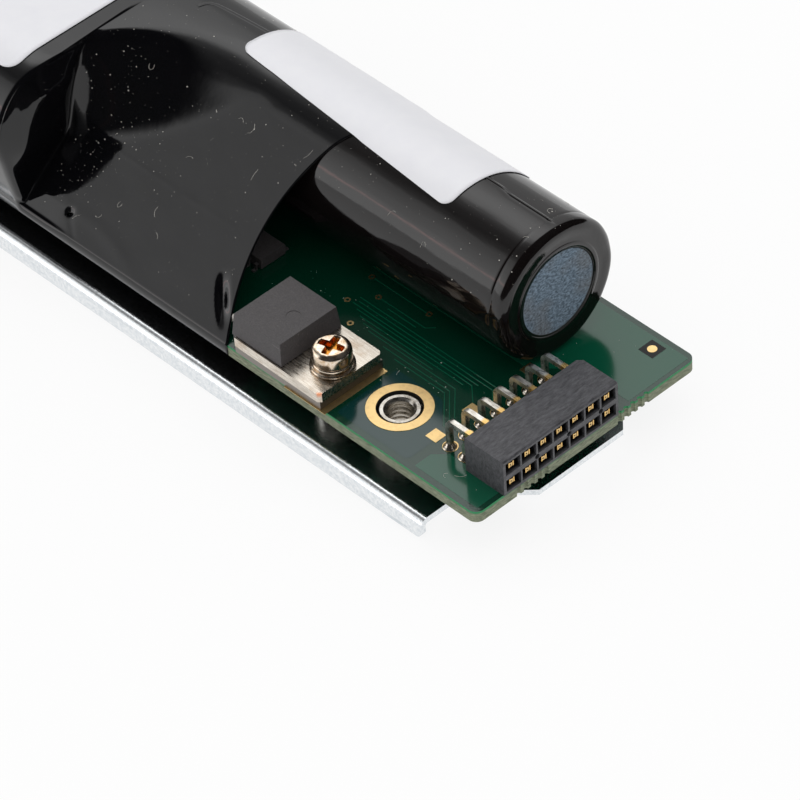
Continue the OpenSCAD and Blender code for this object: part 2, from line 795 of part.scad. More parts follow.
// Front half at x past the front cell: a curve from the top line down to the fold, then
// the flat slope from the back cell to the board's front edge
function hooded_front(x, o) =
    let (s = along_hood(x),
         c = [back_y, cell_z],
         r = sleeve_r + o,
         edge = [-board_w / 2 - o, top_z],
         a = 360 + tangent_angle(c, r, edge, -1),
         leave = c + r * [cos(a), sin(a)],
         flat_run = (leave[0] - edge[0]) / (leave[1] - edge[1]),
         fold = edge + (leave - edge) * (hood_fold + (1 - hood_fold) * pow(s, 1.5)),
         drop = cell_z + r - fold[1],
         run = drop * (hood_steep + (flat_run - hood_steep) * pow(s, 0.6)),
         from = [back_y - (back_y - hood_top_y) * pow(1 - s, 3.5), cell_z + r],
         pull = [fold[0] + run, cell_z + r])
    concat([for (i = [0 : 11])
                let (t = i / 11,
                     p = (1 - t) * (1 - t) * from + 2 * t * (1 - t) * pull + t * t * fold)
                c + (p - c) * max(1, (r + hood_ease) / norm(p - c))],
        [for (i = [1 : 7]) fold + (edge - fold) * i / 8]);

// Cross-section of the film at x, with a share of the way taken from the round front half
// to the hooded one: back cell, front half, round the board
function film_section(x, o, share) =
    let (edge = board_w / 2 + o,
         low = board_z - o,
         cut = 0.8 * o,
         back = [back_y, cell_z],
         a_back = tangent_angle(back, sleeve_r + o, [edge, top_z], 1))
    concat(arc(back, sleeve_r + o, a_back, 86, 14),
        (1 - share) * round_front(o) + share * hooded_front(x, o),
        [[-edge, top_z], [-edge, low + cut], [-edge + cut, low],
         [edge - cut, low], [edge, low + cut], [edge, top_z]]);

// The same section drawn in towards its middle, for the fold over the far end
function drawn_in(section, by) =
    let (c = [(back_y + front_y) / 2, (film_top_z + film_bottom_z) / 2],
         hw = tray_w / 2, hh = (film_top_z - film_bottom_z) / 2)
    [for (p = section) c + [(p[0] - c[0]) * (1 - by / hw), (p[1] - c[1]) * (1 - by / hh)]];

function ring_at(x, section) = [for (p = section) [x, p[0], p[1]]];

// Hollow of the cut edge at y, nothing at the board's edge and high on the back cell
function cut_bow(p) =
    let (u = (p[0] + board_w / 2) / cut_bow_w)
    p[1] < top_z + eps || u < 0 || u > 1 ? 0 : film_cut_bow * 4 * u * (1 - u);

// Rings from the cut edge to the far end. The inner layer lies film_t further back.
function film_rings(o, end_x) =
    let (back = film_gap + film_t - o,
         far = film_section(film_far_x, o, 0))
    concat([[for (p = film_section(film_x, o, 1)) [film_x - cut_bow(p), p[0], p[1]]]],
        [for (s = [1.15, 1, 0.85, 0.7, 0.56, 0.43, 0.31, 0.21, 0.13, 0.07, 0.03, 0])
            let (x = hood_x + s * film_hood_len) ring_at(x - back, film_section(x, o, 1))],
        [for (k = [[0.15, 0.1], [0.4, 0]])
            ring_at(hood_x - k[0] - back, film_section(hood_x, o, k[1]))],
        [for (a = [0 : 22.5 : 90])
            ring_at(end_x + fold_r * (1 - sin(a)), drawn_in(far, fold_r * (1 - cos(a))))],
        [ring_at(end_x, drawn_in(far, film_lip))]);

function reversed(v) = [for (i = [len(v) - 1 : -1 : 0]) v[i]];

// Closed skin through a loop of rings, all with the same number of points
module skin(rings) {
    n = len(rings[0]);
    m = len(rings);
    polyhedron(
        points = [for (r = rings) each r],
        faces = [for (j = [0 : m - 1], i = [0 : n - 1])
            let (k = (j + 1) % m, l = (i + 1) % n) each [
                [j * n + i, k * n + i, j * n + l],
                [k * n + i, k * n + l, j * n + l]]]);
}

module outer_film() {
    color([0.07, 0.07, 0.08]) skin(concat(film_rings(film_gap + film_t, film_far_x),
        reversed(film_rings(film_gap, film_far_x + film_t))));
}

// ---- labels ---------------------------------------------------------------------------------------

// A point over the wrapped cells: s is the way round from the back row's top line,
// o the height over the film. Along the hood the flat top turns into the round cell.
function over_film(x, s, o) =
    let (r = film_r + o,
         flat = back_y - front_y,
         bare = 1 - pow(1 - along_hood(x), 3),
         on_flat = [back_y + s, cell_z + r],
         on_cell = [back_y + r * sin(s / r * 180 / PI), cell_z + r * cos(s / r * 180 / PI)],
         past = (-s - flat) / r * 180 / PI,
         yz = s >= 0 ? on_cell
            : s < -flat ? [front_y - r * sin(past), cell_z + r * cos(past)]
            : on_flat + bare * (on_cell - on_flat))
    [x, yz[0], yz[1]];

// Sheet label with round corners, centred at (x, s) and turned, pressed onto the film
module label(x, s, len, w, corner, turn, rows, cols) {
    function inset(b) = let (d = corner - (w / 2 - abs(b)))
        d <= 0 ? 0 : corner - sqrt(max(0, corner * corner - d * d));
    edge_rows = [for (k = [0 : 3]) w / 2 - corner * (1 - sin(k * 30))];
    bs = concat([for (k = [3 : -1 : 1]) -edge_rows[k]],
        [for (k = [0 : rows]) (w - 2 * corner) * (k / rows - 0.5)],
        [for (k = [1 : 3]) edge_rows[k]]);
    function at(a, b, o) = over_film(x + a * cos(turn) - b * sin(turn),
        s + a * sin(turn) + b * cos(turn), o);
    layer = [for (o = [label_gap, label_gap + label_t]) each
        [for (b = bs) each [for (c = [0 : cols])
            at((len / 2 - inset(b)) * (2 * c / cols - 1), b, o)]]];
    m = len(bs);
    n = cols + 1;
    rim = concat([for (c = [0 : n - 1]) c], [for (r = [1 : m - 1]) r * n + n - 1],
        [for (c = [n - 2 : -1 : 0]) (m - 1) * n + c], [for (r = [m - 2 : -1 : 1]) r * n]);
    polyhedron(points = layer, faces = concat(
        [for (r = [0 : m - 2], c = [0 : n - 2]) let (p = r * n + c) each
            [[p, p + n, p + 1], [p + 1, p + n, p + n + 1]]],
        [for (r = [0 : m - 2], c = [0 : n - 2]) let (p = m * n + r * n + c) each
            [[p, p + 1, p + n], [p + 1, p + n + 1, p + n]]],
        [for (k = [0 : len(rim) - 1]) let (p = rim[k], q = rim[(k + 1) % len(rim)]) each
            [[p, q, p + m * n], [q, q + m * n, p + m * n]]]));
}

module long_label() {
    color("whitesmoke") label(face_x - long_label_setback, long_label_shift,
        long_label_len, long_label_w, long_label_corner_r, long_label_turn, 12, 16);
}

module wide_label() {
    color("whitesmoke") label(face_x - wide_label_setback - wide_label_len / 2,
        front_y - back_y + wide_label_w / 2 - wide_label_wrap,
        wide_label_len, wide_label_w, wide_label_corner_r, 0, 16, 4);
}

tray();
locating_standoff();
resistor_standoff();
foam_pads();
circuit_board();
plated_pads();
connector_housing();
upper_contacts();
lower_contacts();
resistor_body();
resistor_tab();
resistor_leads();
heat_plate();
resistor_screw();
spring_washer();
flat_washer();
gauge_chip();
switch_transistors();
cell_fuse();
board_capacitors();
thermistor();
cell_tape();
near_cell();
far_cell();
front_cell();
near_sleeve();
far_sleeve();
front_sleeve();
end_disc();
near_strip();
middle_strip();
far_strip();
end_paper();
outer_film();
long_label();
wide_label();
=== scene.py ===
import bpy
import math
import random
from mathutils import Matrix, Vector, noise
from mathutils.bvhtree import BVHTree


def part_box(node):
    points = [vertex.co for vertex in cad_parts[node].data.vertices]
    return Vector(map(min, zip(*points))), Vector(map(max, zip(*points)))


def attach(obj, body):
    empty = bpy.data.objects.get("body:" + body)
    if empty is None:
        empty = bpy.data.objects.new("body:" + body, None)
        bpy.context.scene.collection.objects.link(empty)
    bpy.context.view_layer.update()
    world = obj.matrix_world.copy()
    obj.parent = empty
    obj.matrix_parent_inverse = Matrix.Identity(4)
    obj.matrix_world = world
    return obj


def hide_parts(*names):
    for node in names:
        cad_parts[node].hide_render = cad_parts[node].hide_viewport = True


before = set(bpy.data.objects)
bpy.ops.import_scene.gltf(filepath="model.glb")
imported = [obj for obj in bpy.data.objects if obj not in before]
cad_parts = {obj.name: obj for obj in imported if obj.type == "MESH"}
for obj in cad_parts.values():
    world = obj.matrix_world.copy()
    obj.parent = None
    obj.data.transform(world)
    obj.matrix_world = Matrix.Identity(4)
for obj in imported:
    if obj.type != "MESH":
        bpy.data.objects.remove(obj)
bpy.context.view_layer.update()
scene = bpy.context.scene
mm = 0.001
print("frame loaded")


def linear(hexColour):
    # sRGB hex to the linear values that the shaders use
    parts = [int(hexColour[i:i + 2], 16) / 255 for i in (1, 3, 5)]
    return [c / 12.92 if c <= 0.04045 else ((c + 0.055) / 1.055) ** 2.4 for c in parts] + [1]


def fill(node, *values, **named):
    # a node's sockets, in order or by name: each takes a number, a hex colour or a link
    sockets = [s for s in node.inputs if s.enabled]
    pairs = list(zip(sockets, values))
    pairs += [(node.inputs[name.replace("_", " ")], value) for name, value in named.items()]
    for socket, value in pairs:
        if isinstance(value, bpy.types.Node):
            value = next(s for s in value.outputs if s.enabled)
        if isinstance(value, bpy.types.NodeSocket):
            node.id_data.links.new(value, socket)
        else:
            socket.default_value = linear(value) if isinstance(value, str) else value


def add(tree, kind, *values, **named):
    # one node: names in small letters are its settings, all the rest goes to its sockets
    node = tree.nodes.new("ShaderNode" + kind)
    for name in [n for n in named if n.islower()]:
        setattr(node, name, named.pop(name))
    fill(node, *values, **named)
    return node


def newMaterial(name, **inputs):
    # a Principled material and the tree that it sits in
    material = bpy.data.materials.new(name)
    material.use_nodes = True
    tree = material.node_tree
    shader = tree.nodes["Principled BSDF"]
    fill(shader, **inputs)
    return material, tree, shader


def twoTone(tree, pattern, low, high, first, second, start=0, end=1):
    # from one colour to the other as the pattern rises from low to high
    share = add(tree, "MapRange", pattern, low, high, start, end)
    return add(tree, "Mix", share, first, second, data_type="RGBA")


def nodeBox(node):
    # lowest and highest corner of a CAD node, in mm
    low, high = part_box(node)
    return low / mm, high / mm


def fromAxis(tree, point, node):
    # distance from the upright axis through a CAD node
    low, high = nodeBox(node)
    axis = ((low.x + high.x) / 2 * mm, (low.y + high.y) / 2 * mm, 0)
    level = add(tree, "VectorMath", point, (1, 1, 0), operation="MULTIPLY")
    return add(tree, "VectorMath", level, axis, operation="DISTANCE")


# In the materials a Scale of 2 / mm draws about two grains to the millimetre, and a point
# multiplied by less than one along an axis draws the grains out along it.

def shrinkFilm():
    # PVC film, blown thin and heat-shrunk: deep black with a mirror gloss. Slow waves bend the
    # reflections a little, a fine peel softens their edges, and handling left dull patches.
    material, tree, shader = newMaterial("PVC film, heat-shrunk", Base_Color="#08080a", IOR=1.5)
    point = add(tree, "TexCoord").outputs["Object"]
    wave = add(tree, "TexNoise", point, Scale=0.16 / mm, Detail=1)
    peel = add(tree, "TexNoise", point, Scale=1.1 / mm, Detail=3)
    both = add(tree, "Math", peel, 0.09, wave, operation="MULTIPLY_ADD")
    handled = add(tree, "TexNoise", point, Scale=0.35 / mm, Detail=5, Roughness=0.7)
    fill(shader, Roughness=add(tree, "MapRange", handled, 0.45, 0.75, 0.05, 0.13),
         Normal=add(tree, "Bump", Height=both, Distance=0.07 * mm))
    return material


def cellSleeve():
    # PVC sleeve shrunk on a steel can: black with a brown cast, glossy, finely scratched along
    # the cell, so its streaks of light have soft, slightly broken edges. Real scratches are
    # hair-thin; these are 0.8 mm apart to show.
    material, tree, shader = newMaterial("PVC sleeve, heat-shrunk", Base_Color="#0e0b0b", IOR=1.5)
    point = add(tree, "TexCoord").outputs["Object"]
    along = add(tree, "VectorMath", point, (0.15, 1, 1), operation="MULTIPLY")
    drawn = add(tree, "TexNoise", along, Scale=1.2 / mm, Detail=3)
    handled = add(tree, "TexNoise", point, Scale=0.6 / mm, Detail=5, Roughness=0.7)
    fill(shader, Roughness=add(tree, "MapRange", handled, 0.4, 0.75, 0.06, 0.14),
         Normal=add(tree, "Bump", Height=drawn, Distance=0.012 * mm))
    return material


def zincSheet():
    # Steel sheet, electroplated with zinc and scuffed: bright and slightly blue, with a fine
    # speckle of crystals and a blurred reflection. The crystals are far finer than 0.4 mm, and
    # are drawn that coarse to show.
    material, tree, shader = newMaterial("steel sheet, zinc-plated", Metallic=1.0)
    point = add(tree, "TexCoord").outputs["Object"]
    speckle = add(tree, "TexNoise", point, Scale=2.6 / mm, Detail=4, Roughness=0.7)
    along = add(tree, "VectorMath", point, (0.12, 1, 1), operation="MULTIPLY")
    scuff = add(tree, "TexNoise", along, Scale=0.9 / mm, Detail=4, Roughness=0.6)
    tone = twoTone(tree, speckle, 0.35, 0.65, "#dce1e5", "#f2f4f5")
    fill(shader, Base_Color=twoTone(tree, scuff, 0.58, 0.72, tone, "#b9c2c8", 0, 0.5),
         Roughness=add(tree, "MapRange", speckle, 0.3, 0.7, 0.12, 0.22),
         Normal=add(tree, "Bump", Height=speckle, Distance=0.02 * mm))
    return material


def turnedSteel():
    # Free-cutting steel, turned and nickel-plated: rings left by the tool catch the light
    material, tree, shader = newMaterial("steel, turned and nickel-plated", Metallic=1.0)
    point = add(tree, "TexCoord").outputs["Object"]
    level = add(tree, "VectorMath", point, (0.3, 0.3, 2), operation="MULTIPLY")
    rings = add(tree, "TexNoise", level, Scale=3.0 / mm, Detail=3, Roughness=0.6)
    fill(shader, Base_Color=twoTone(tree, rings, 0.35, 0.65, "#a49c90", "#e4e0d8"),
         Roughness=add(tree, "MapRange", rings, 0.3, 0.7, 0.2, 0.36))
    return material


def solderMask():
    # Glass-fibre laminate under green solder mask: wet-looking dark green on the faces,
    # dull pale layers of glass and resin on the sawn edges
    material, tree, shader = newMaterial("laminate, green solder mask", IOR=1.62)
    point = add(tree, "TexCoord").outputs["Object"]
    facing = add(tree, "SeparateXYZ", add(tree, "NewGeometry").outputs["Normal"]).outputs["Z"]
    flat = add(tree, "Math", facing, operation="ABSOLUTE")
    cut = add(tree, "MapRange", flat, 0.5, 0.7, 1, 0)
    drawn = add(tree, "VectorMath", point, (0.5, 0.5, 3), operation="MULTIPLY")
    weave = add(tree, "TexNoise", drawn, Scale=2.4 / mm, Detail=3, Roughness=0.7)
    layers = twoTone(tree, weave, 0.35, 0.65, "#565f48", "#949a80")
    # the mask stains the topmost layer green
    height = add(tree, "SeparateXYZ", point).outputs["Z"]
    layers = twoTone(tree, height, (boardHigh.z - 0.42) * mm, (boardHigh.z - 0.22) * mm, layers,
                     "#1c8a52")
    # the wall of the fixing hole is painted dark: painted shade in the hole
    layers = twoTone(tree, fromAxis(tree, point, "locating_standoff"), 3.1 * mm, 3.3 * mm, layers,
                     "#15130f", 1, 0)
    cloud = add(tree, "TexNoise", point, Scale=0.12 / mm)
    faces = add(tree, "Mix", cloud, "#02291a", "#043627", data_type="RGBA")
    grain = add(tree, "TexNoise", point, Scale=2.2 / mm)
    fill(shader, Base_Color=add(tree, "Mix", cut, faces, layers, data_type="RGBA"),
         Roughness=add(tree, "MapRange", cut, 0, 1, 0.13, 0.7),
         Normal=add(tree, "Bump", Height=grain, Distance=0.01 * mm))
    return material


def goldPlate():
    # Immersion gold on nickel: pale yellow, satin, with faint grey handling marks
    material, tree, shader = newMaterial("copper, gold-plated", Metallic=1.0, Roughness=0.36)
    point = add(tree, "TexCoord").outputs["Object"]
    mark = add(tree, "TexNoise", point, Scale=1.4 / mm, Detail=5, Roughness=0.7)
    fill(shader, Base_Color=twoTone(tree, mark, 0.45, 0.75, "#f0cf92", "#c9a878", 0, 0.6))
    return material


def tinnedContact():
    # Phosphor bronze, gold-plated at the mating end and tin-plated at the tail: the silver
    # tails are streaked dull, the last stretch before the housing is yellow
    material, tree, shader = newMaterial("bronze, gold- and tin-plated", Metallic=1.0)
    point = add(tree, "TexCoord").outputs["Object"]
    drawn = add(tree, "VectorMath", point, (0.4, 1, 0.4), operation="MULTIPLY")
    streak = add(tree, "TexNoise", drawn, Scale=2.5 / mm, Detail=3, Roughness=0.6)
    tin = twoTone(tree, streak, 0.35, 0.65, "#bcb7ad", "#f4f1ea")
    place = add(tree, "SeparateXYZ", point).outputs["X"]
    gold = contactShape["goldFrom"]
    fill(shader, Base_Color=twoTone(tree, place, (gold - 0.2) * mm, (gold + 0.2) * mm, tin,
                                    "#ecc37c"),
         Roughness=add(tree, "MapRange", streak, 0.3, 0.7, 0.22, 0.4))
    return material


def mouldedNylon():
    # Glass-filled nylon, moulded: dark grey, with a dull grain of glass drawn along the flow.
    # The fibres are about 0.01 mm thick, and are drawn 0.3 mm wide to show.
    material, tree, shader = newMaterial("nylon, glass-filled, moulded", Roughness=0.5, IOR=1.53)
    point = add(tree, "TexCoord").outputs["Object"]
    flow = add(tree, "VectorMath", point, (1, 0.25, 0.6), operation="MULTIPLY")
    grain = add(tree, "TexNoise", flow, Scale=3.2 / mm, Detail=5, Roughness=0.75)
    tone = twoTone(tree, grain, 0.3, 0.7, "#26262a", "#5a5a5e")
    # the insides of the openings for the contacts are painted near-black: painted shade in the
    # pockets
    low, high = nodeBox("connector_housing")
    axes = add(tree, "SeparateXYZ", point).outputs
    deep = add(tree, "MapRange", axes["X"], (high.x - 0.5) * mm, (high.x - 0.15) * mm, 1, 0)
    wall, fade = 0.12, 0.1
    for axis, a, b in (("X", low.x + 0.5, high.x), ("Y", low.y + wall, high.y - wall),
                       ("Z", low.z + wall, high.z - wall)):
        above = add(tree, "MapRange", axes[axis], a * mm, (a + fade) * mm)
        below = add(tree, "MapRange", axes[axis], (b - fade) * mm, b * mm, 1, 0)
        for part in (above, below):
            deep = add(tree, "Math", deep, part, operation="MULTIPLY")
    # inside the openings the grain gives way to the near-black painted shade
    fill(shader, Base_Color=add(tree, "Mix", deep, tone, "#08080a", data_type="RGBA"),
         Normal=add(tree, "Bump", Height=grain, Distance=0.08 * mm))
    return material


def mouldedEpoxy():
    # Filled epoxy, transfer-moulded: dark grey with a fine matt grain and pale scratches. The
    # grains of filler are under 0.1 mm, and are drawn 0.17 mm wide to show.
    material, tree, shader = newMaterial("epoxy, filled, moulded", Roughness=0.6, IOR=1.55)
    point = add(tree, "TexCoord").outputs["Object"]
    grain = add(tree, "TexNoise", point, Scale=6.0 / mm, Detail=3, Roughness=0.7)
    along = add(tree, "VectorMath", point, (0.15, 1.4, 1), operation="MULTIPLY")
    scratch = add(tree, "TexNoise", along, Scale=2.0 / mm, Detail=4, Roughness=0.6)
    tone = twoTone(tree, grain, 0.3, 0.7, "#363435", "#504c4d")
    fill(shader, Base_Color=twoTone(tree, scratch, 0.66, 0.72, tone, "#8a8684", 0, 0.35),
         Normal=add(tree, "Bump", Height=grain, Distance=0.02 * mm))
    return material


def nickelTab():
    # Copper tab, nickel-plated and worn by handling: warm silver, brushed along the board,
    # with bare copper showing at one rubbed corner
    material, tree, shader = newMaterial("copper, nickel-plated", Metallic=1.0)
    point = add(tree, "TexCoord").outputs["Object"]
    along = add(tree, "VectorMath", point, (0.2, 1.6, 1), operation="MULTIPLY")
    brush = add(tree, "TexNoise", along, Scale=2.4 / mm, Detail=4, Roughness=0.65)
    stain = add(tree, "TexNoise", point, Scale=0.45 / mm, Detail=3, Roughness=0.6)
    tone = twoTone(tree, brush, 0.35, 0.65, "#bdb3a6", "#e6ded2")
    tone = twoTone(tree, stain, 0.5, 0.68, tone, "#a5896c", 0, 0.45)
    low, high = nodeBox("resistor_tab")
    rubbed = add(tree, "VectorMath", point, (high.x * mm, low.y * mm, high.z * mm),
                 operation="DISTANCE")
    fill(shader, Base_Color=twoTone(tree, rubbed, 0.3 * mm, 0.7 * mm, tone, "#e0946c", 1, 0),
         Roughness=add(tree, "MapRange", brush, 0.3, 0.7, 0.18, 0.36))
    return material


def passivatedScrew():
    # Steel, zinc-plated and passivated yellow: bright silver where rubbed, amber left in the
    # cross recess
    material, tree, shader = newMaterial("screw steel, zinc-plated, passivated", Metallic=1.0,
                                         Roughness=0.2)
    point = add(tree, "TexCoord").outputs["Object"]
    inside = add(tree, "MapRange", fromAxis(tree, point, "resistor_screw"), 1.55 * mm, 1.75 * mm,
                 1, 0)
    height = add(tree, "SeparateXYZ", point).outputs["Z"]
    top = nodeBox("resistor_screw")[1].z
    deep = add(tree, "MapRange", height, (top - 0.28) * mm, (top - 0.12) * mm, 1, 0)
    recess = add(tree, "Math", inside, deep, operation="MULTIPLY")
    wear = add(tree, "TexNoise", point, Scale=1.3 / mm, Detail=4, Roughness=0.6)
    bright = twoTone(tree, wear, 0.4, 0.65, "#f2e6d6", "#c9ab88")
    fill(shader, Base_Color=add(tree, "Mix", recess, bright, "#d8923c", data_type="RGBA"))
    return material


def fibreSheet():
    # Vulcanised fibre, pressed: matt blue-grey felt of pale and dark fibres. The fibres are
    # finer than 0.3 mm, and are drawn that wide to show.
    material, tree, shader = newMaterial("fibre sheet, pressed", Roughness=0.95, IOR=1.5)
    point = add(tree, "TexCoord").outputs["Object"]
    felt = add(tree, "VectorMath", point, (1, 0.6, 1.2), operation="MULTIPLY")
    fine = add(tree, "TexNoise", felt, Scale=3.6 / mm, Detail=4, Roughness=0.8)
    patch = add(tree, "TexNoise", point, Scale=0.22 / mm, Detail=1)
    tone = twoTone(tree, fine, 0.36, 0.64, "#1d2935", "#8a9fb1")
    fill(shader, Base_Color=twoTone(tree, patch, 0.45, 0.65, tone, "#6c6660", 0, 0.4),
         Normal=add(tree, "Bump", Height=fine, Distance=0.06 * mm))
    return material


def labelPaper():
    # Coated label stock: cool white, faintly mottled, low sheen
    material, tree, shader = newMaterial("label paper, coated", Roughness=0.4, IOR=1.5)
    point = add(tree, "TexCoord").outputs["Object"]
    mottle = add(tree, "TexNoise", point, Scale=0.5 / mm, Detail=4)
    fill(shader, Base_Color=add(tree, "Mix", mottle, "#e1e1e6", "#e8e8eb", data_type="RGBA"))
    return material


def plainMaterial(name, colour, roughness, **inputs):
    # a surface of one tone
    return newMaterial(name, Base_Color=colour, Roughness=roughness, **inputs)[0]


def newPiece(name, verts, faces, material, slot, replaces=(), smooth=True):
    # a mesh piece from points in mm, riding on the one body
    mesh = bpy.data.meshes.new(name)
    mesh.from_pydata([Vector(v) * mm for v in verts], [], faces)
    if smooth:
        mesh.shade_smooth()
    mesh.materials.append(material)
    piece = bpy.data.objects.new(name, mesh)
    scene.collection.objects.link(piece)
    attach(piece, "root")
    if replaces:
        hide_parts(*replaces)
    return piece


def smoothStep(a, b, x):
    t = min(1, max(0, (x - a) / (b - a)))
    return t * t * (3 - 2 * t)


def hill(x, width):
    # a bell of height 1 at zero
    return math.exp(-(x / width) ** 2)


def softened(row):
    # each inner member drawn towards its neighbours
    return [row[0]] + [(a + 2 * b + c) / 4 for a, b, c in zip(row, row[1:], row[2:])] + [row[-1]]


def gridFaces(rows, count, closed=True, turned=False, start=0):
    # quads between rows of points, each row closed or open; turned ones face the other way
    faces = []
    for j in range(rows - 1):
        for i in range(count if closed else count - 1):
            a, b = start + j * count + i, start + j * count + (i + 1) % count
            faces.append((a, b, b + count, a + count) if turned else (a, a + count, b + count, b))
    return faces


def lineDistance(p, a, b):
    # distance of p from the stretch a-b, and how far along it the nearest point lies
    along = (b[0] - a[0], b[1] - a[1])
    length = math.hypot(*along)
    share = ((p[0] - a[0]) * along[0] + (p[1] - a[1]) * along[1]) / length ** 2
    share = min(1, max(0, share))
    near = (a[0] + along[0] * share, a[1] + along[1] * share)
    return math.hypot(p[0] - near[0], p[1] - near[1]), share


filmShape = {
    "standOff": 0.15, "thickness": 0.12, "cutBow": 4.3, "bowWidth": 23, "cutReach": 11,
    "hoodStart": 0.75, "hoodLength": 26, "hoodTop": 7.2, "hoodPull": 12.8, "hoodShare": 0.4,
    "rimRadius": 1.1, "faceBulge": 1.6, "faceLean": 0.53, "farBend": 1.6, "farHalf": (19.8, 10.2),
    "frontSteps": 46, "slopeSteps": 84, "backSteps": 26, "ringStep": 0.33,
    "softening": 16, "endSoftening": 4, "ringSoftening": 40,
    # share of the hood's first ring in each ring of the drawn-in end
    "drawnRings": (0.97, 0.93, 0.88, 0.8, 0.72, 0.64, 0.56, 0.48, 0.4, 0.32, 0.25, 0.19, 0.14,
                   0.1, 0.07, 0.045, 0.025, 0.01, 0),
    # marks on the slope: x and the way up it, and for the folds a height and a width
    "pinhole": (1.75, 2.63), "holeRadius": 0.27, "holePinch": (0.3, 0.45),
    "facet": 0.28, "facetWidth": 2.9,
    "folds": ((((2.65, 3.03), (5.9, 3.1), (9.3, 2.5), (12, 1.6), (15.5, 0.1)), 0.03, 0.9),
              (((-4.6, 6.6), (-2.5, 4.9), (0.95, 3.23)), 0.025, 0.7),
              (((2.05, 2.13), (4.3, 0.1)), -0.04, 0.3)),
    "crease": (0.02, 0.12), "step": ((26.4, 6.9), (30.3, 0.6)), "stepHeight": 0.6}

backLow, backHigh = nodeBox("near_sleeve")
frontLow, frontHigh = nodeBox("front_sleeve")
boardLow, boardHigh = nodeBox("circuit_board")
filmLow, filmHigh = nodeBox("outer_film")
cellRadius = (backHigh.y - backLow.y) / 2
backY = (backHigh.y + backLow.y) / 2
frontY = (frontHigh.y + frontLow.y) / 2
cellZ = (backHigh.z + backLow.z) / 2
backAxis = Vector((backY, cellZ))


def tangentAngle(centre, radius, p, side):
    # where a line from p leaves the circle on its upper side
    away = (p[0] - centre[0], p[1] - centre[1])
    return math.atan2(away[1], away[0]) + side * math.acos(radius / math.hypot(*away))


def onArc(centre, radius, angle):
    return Vector((centre[0] + radius * math.cos(angle), centre[1] + radius * math.sin(angle)))


def filmSections():
    # cross-sections of the film as functions of the place along it
    off = filmShape["standOff"]
    radius = cellRadius + off
    front = Vector((frontY, cellZ))
    edge = Vector((-boardHigh.y - off, boardHigh.z))
    leave = onArc(backAxis, radius, 2 * math.pi + tangentAngle(backAxis, radius, edge, -1))
    corner = edge.x + (cellZ + radius - edge.y) * (leave.x - edge.x) / (leave.y - edge.y)
    hoodX = frontHigh.x + filmShape["hoodStart"]
    hoodTop = frontY + filmShape["hoodTop"]
    split = filmShape["hoodShare"]
    sideAngle = 2 * math.pi + tangentAngle(front, radius, edge, -1)
    sideLeave = onArc(front, radius, sideAngle)
    arcLength = radius * (sideAngle - math.pi / 2)
    sideLength = (sideLeave - edge).length

    def roundFront(t):
        # over the front cell and down its side to the board's edge
        way = t * (arcLength + sideLength)
        if way < arcLength:
            return onArc(front, radius, math.pi / 2 + way / radius)
        return sideLeave.lerp(edge, (way - arcLength) / sideLength)

    def hoodedFront(x, t):
        # Past the front cell: a curve down to the fold, then the flat slope. The fold climbs
        # quickly to the back cell, and the hood sinks slowly after a sharp first drop.
        s = min(1, max(0, (x - hoodX) / filmShape["hoodLength"]))
        fold = edge.lerp(leave, 0.43 + 0.57 * min(1, 1.37 * s ** 1.55))
        drawn = 0.35 * (1 - s) ** 10 + 0.65 * (1 - s) ** 1.6
        pull = Vector((corner - filmShape["hoodPull"] * drawn, cellZ + radius))
        start = Vector((backY - (backY - hoodTop) * (1 - s) ** 3, cellZ + radius))
        if t > split:
            return fold.lerp(edge, (t - split) / (1 - split))
        k = t / split
        p = (1 - k) ** 2 * start + 2 * k * (1 - k) * pull + k * k * fold
        away = p - backAxis
        return backAxis + away * max(1, radius / away.length)

    return roundFront, hoodedFront, hoodX, radius


def slopeWay(y):
    # distance up the flat slope from the board's front edge; 1.3 is its length over its width
    return (y + boardHigh.y + filmShape["standOff"]) * 1.3


def filmRelief(x, w):
    # folds, pinches and a dent on the slope, as a lift in mm at x and at w up the slope
    px, pw = filmShape["pinhole"]
    # steeper facet along the board's edge near the front cell, ending at the pinhole
    reach = 1 - smoothStep(px - 3.5, px + 2.5, x)
    lift = -filmShape["facet"] * reach * max(0, 1 - w / filmShape["facetWidth"])
    # soft folds that fan out from the pinhole
    for points, height, width in filmShape["folds"]:
        far = min(lineDistance((x, w), a, b)[0] for a, b in zip(points, points[1:]))
        lift += height * hill(far, width) * smoothStep(15.5, 11, x)
    # pinch round the hole
    pinch, width = filmShape["holePinch"]
    lift -= pinch * hill(math.hypot(x - px, w - pw), width)
    # thin creases where the tube lay folded flat
    height, width = filmShape["crease"]
    lift += height * hill(w - 11.9 + 0.8 * hill(x - 14.3, 0.35), width) * smoothStep(26.5, 25, x)
    lift += height * hill(w - 19.3 + 0.03 * x, width) * smoothStep(1.4, 2, x) * smoothStep(10, 9, x)
    # step where the skin was drawn down beside the resistor's lead
    top, foot = filmShape["step"]
    far, share = lineDistance((x, w), top, foot)
    side = ((x - top[0]) * (foot[1] - top[1]) - (w - top[1]) * (foot[0] - top[0]))
    across = far if side < 0 else -far
    lift -= filmShape["stepHeight"] * math.sin(math.pi * share) ** 2 * (
        smoothStep(-0.4, 0.5, across) - smoothStep(0.5, 2.6, across))
    return lift


def lifted(front, x):
    # one ring's front half, smoothed and moved out along its own normal by the relief
    for k in range(filmShape["ringSoftening"]):
        front = softened(front)
    # the back cell holds the skin out
    radius = cellRadius + filmShape["standOff"]
    front = [backAxis + (p - backAxis) * max(1, radius / (p - backAxis).length) for p in front]
    ring = [front[0]]
    for a, b, c in zip(front, front[1:], front[2:]):
        along = (c - a).normalized()
        w = slopeWay(b.x)
        ring.append(b + Vector((-abs(along.y), abs(along.x))) * filmRelief(x, w)
                    * smoothStep(-0.1, 0.5, w) * smoothStep(27, 24, w))
    return ring + [front[-1]]


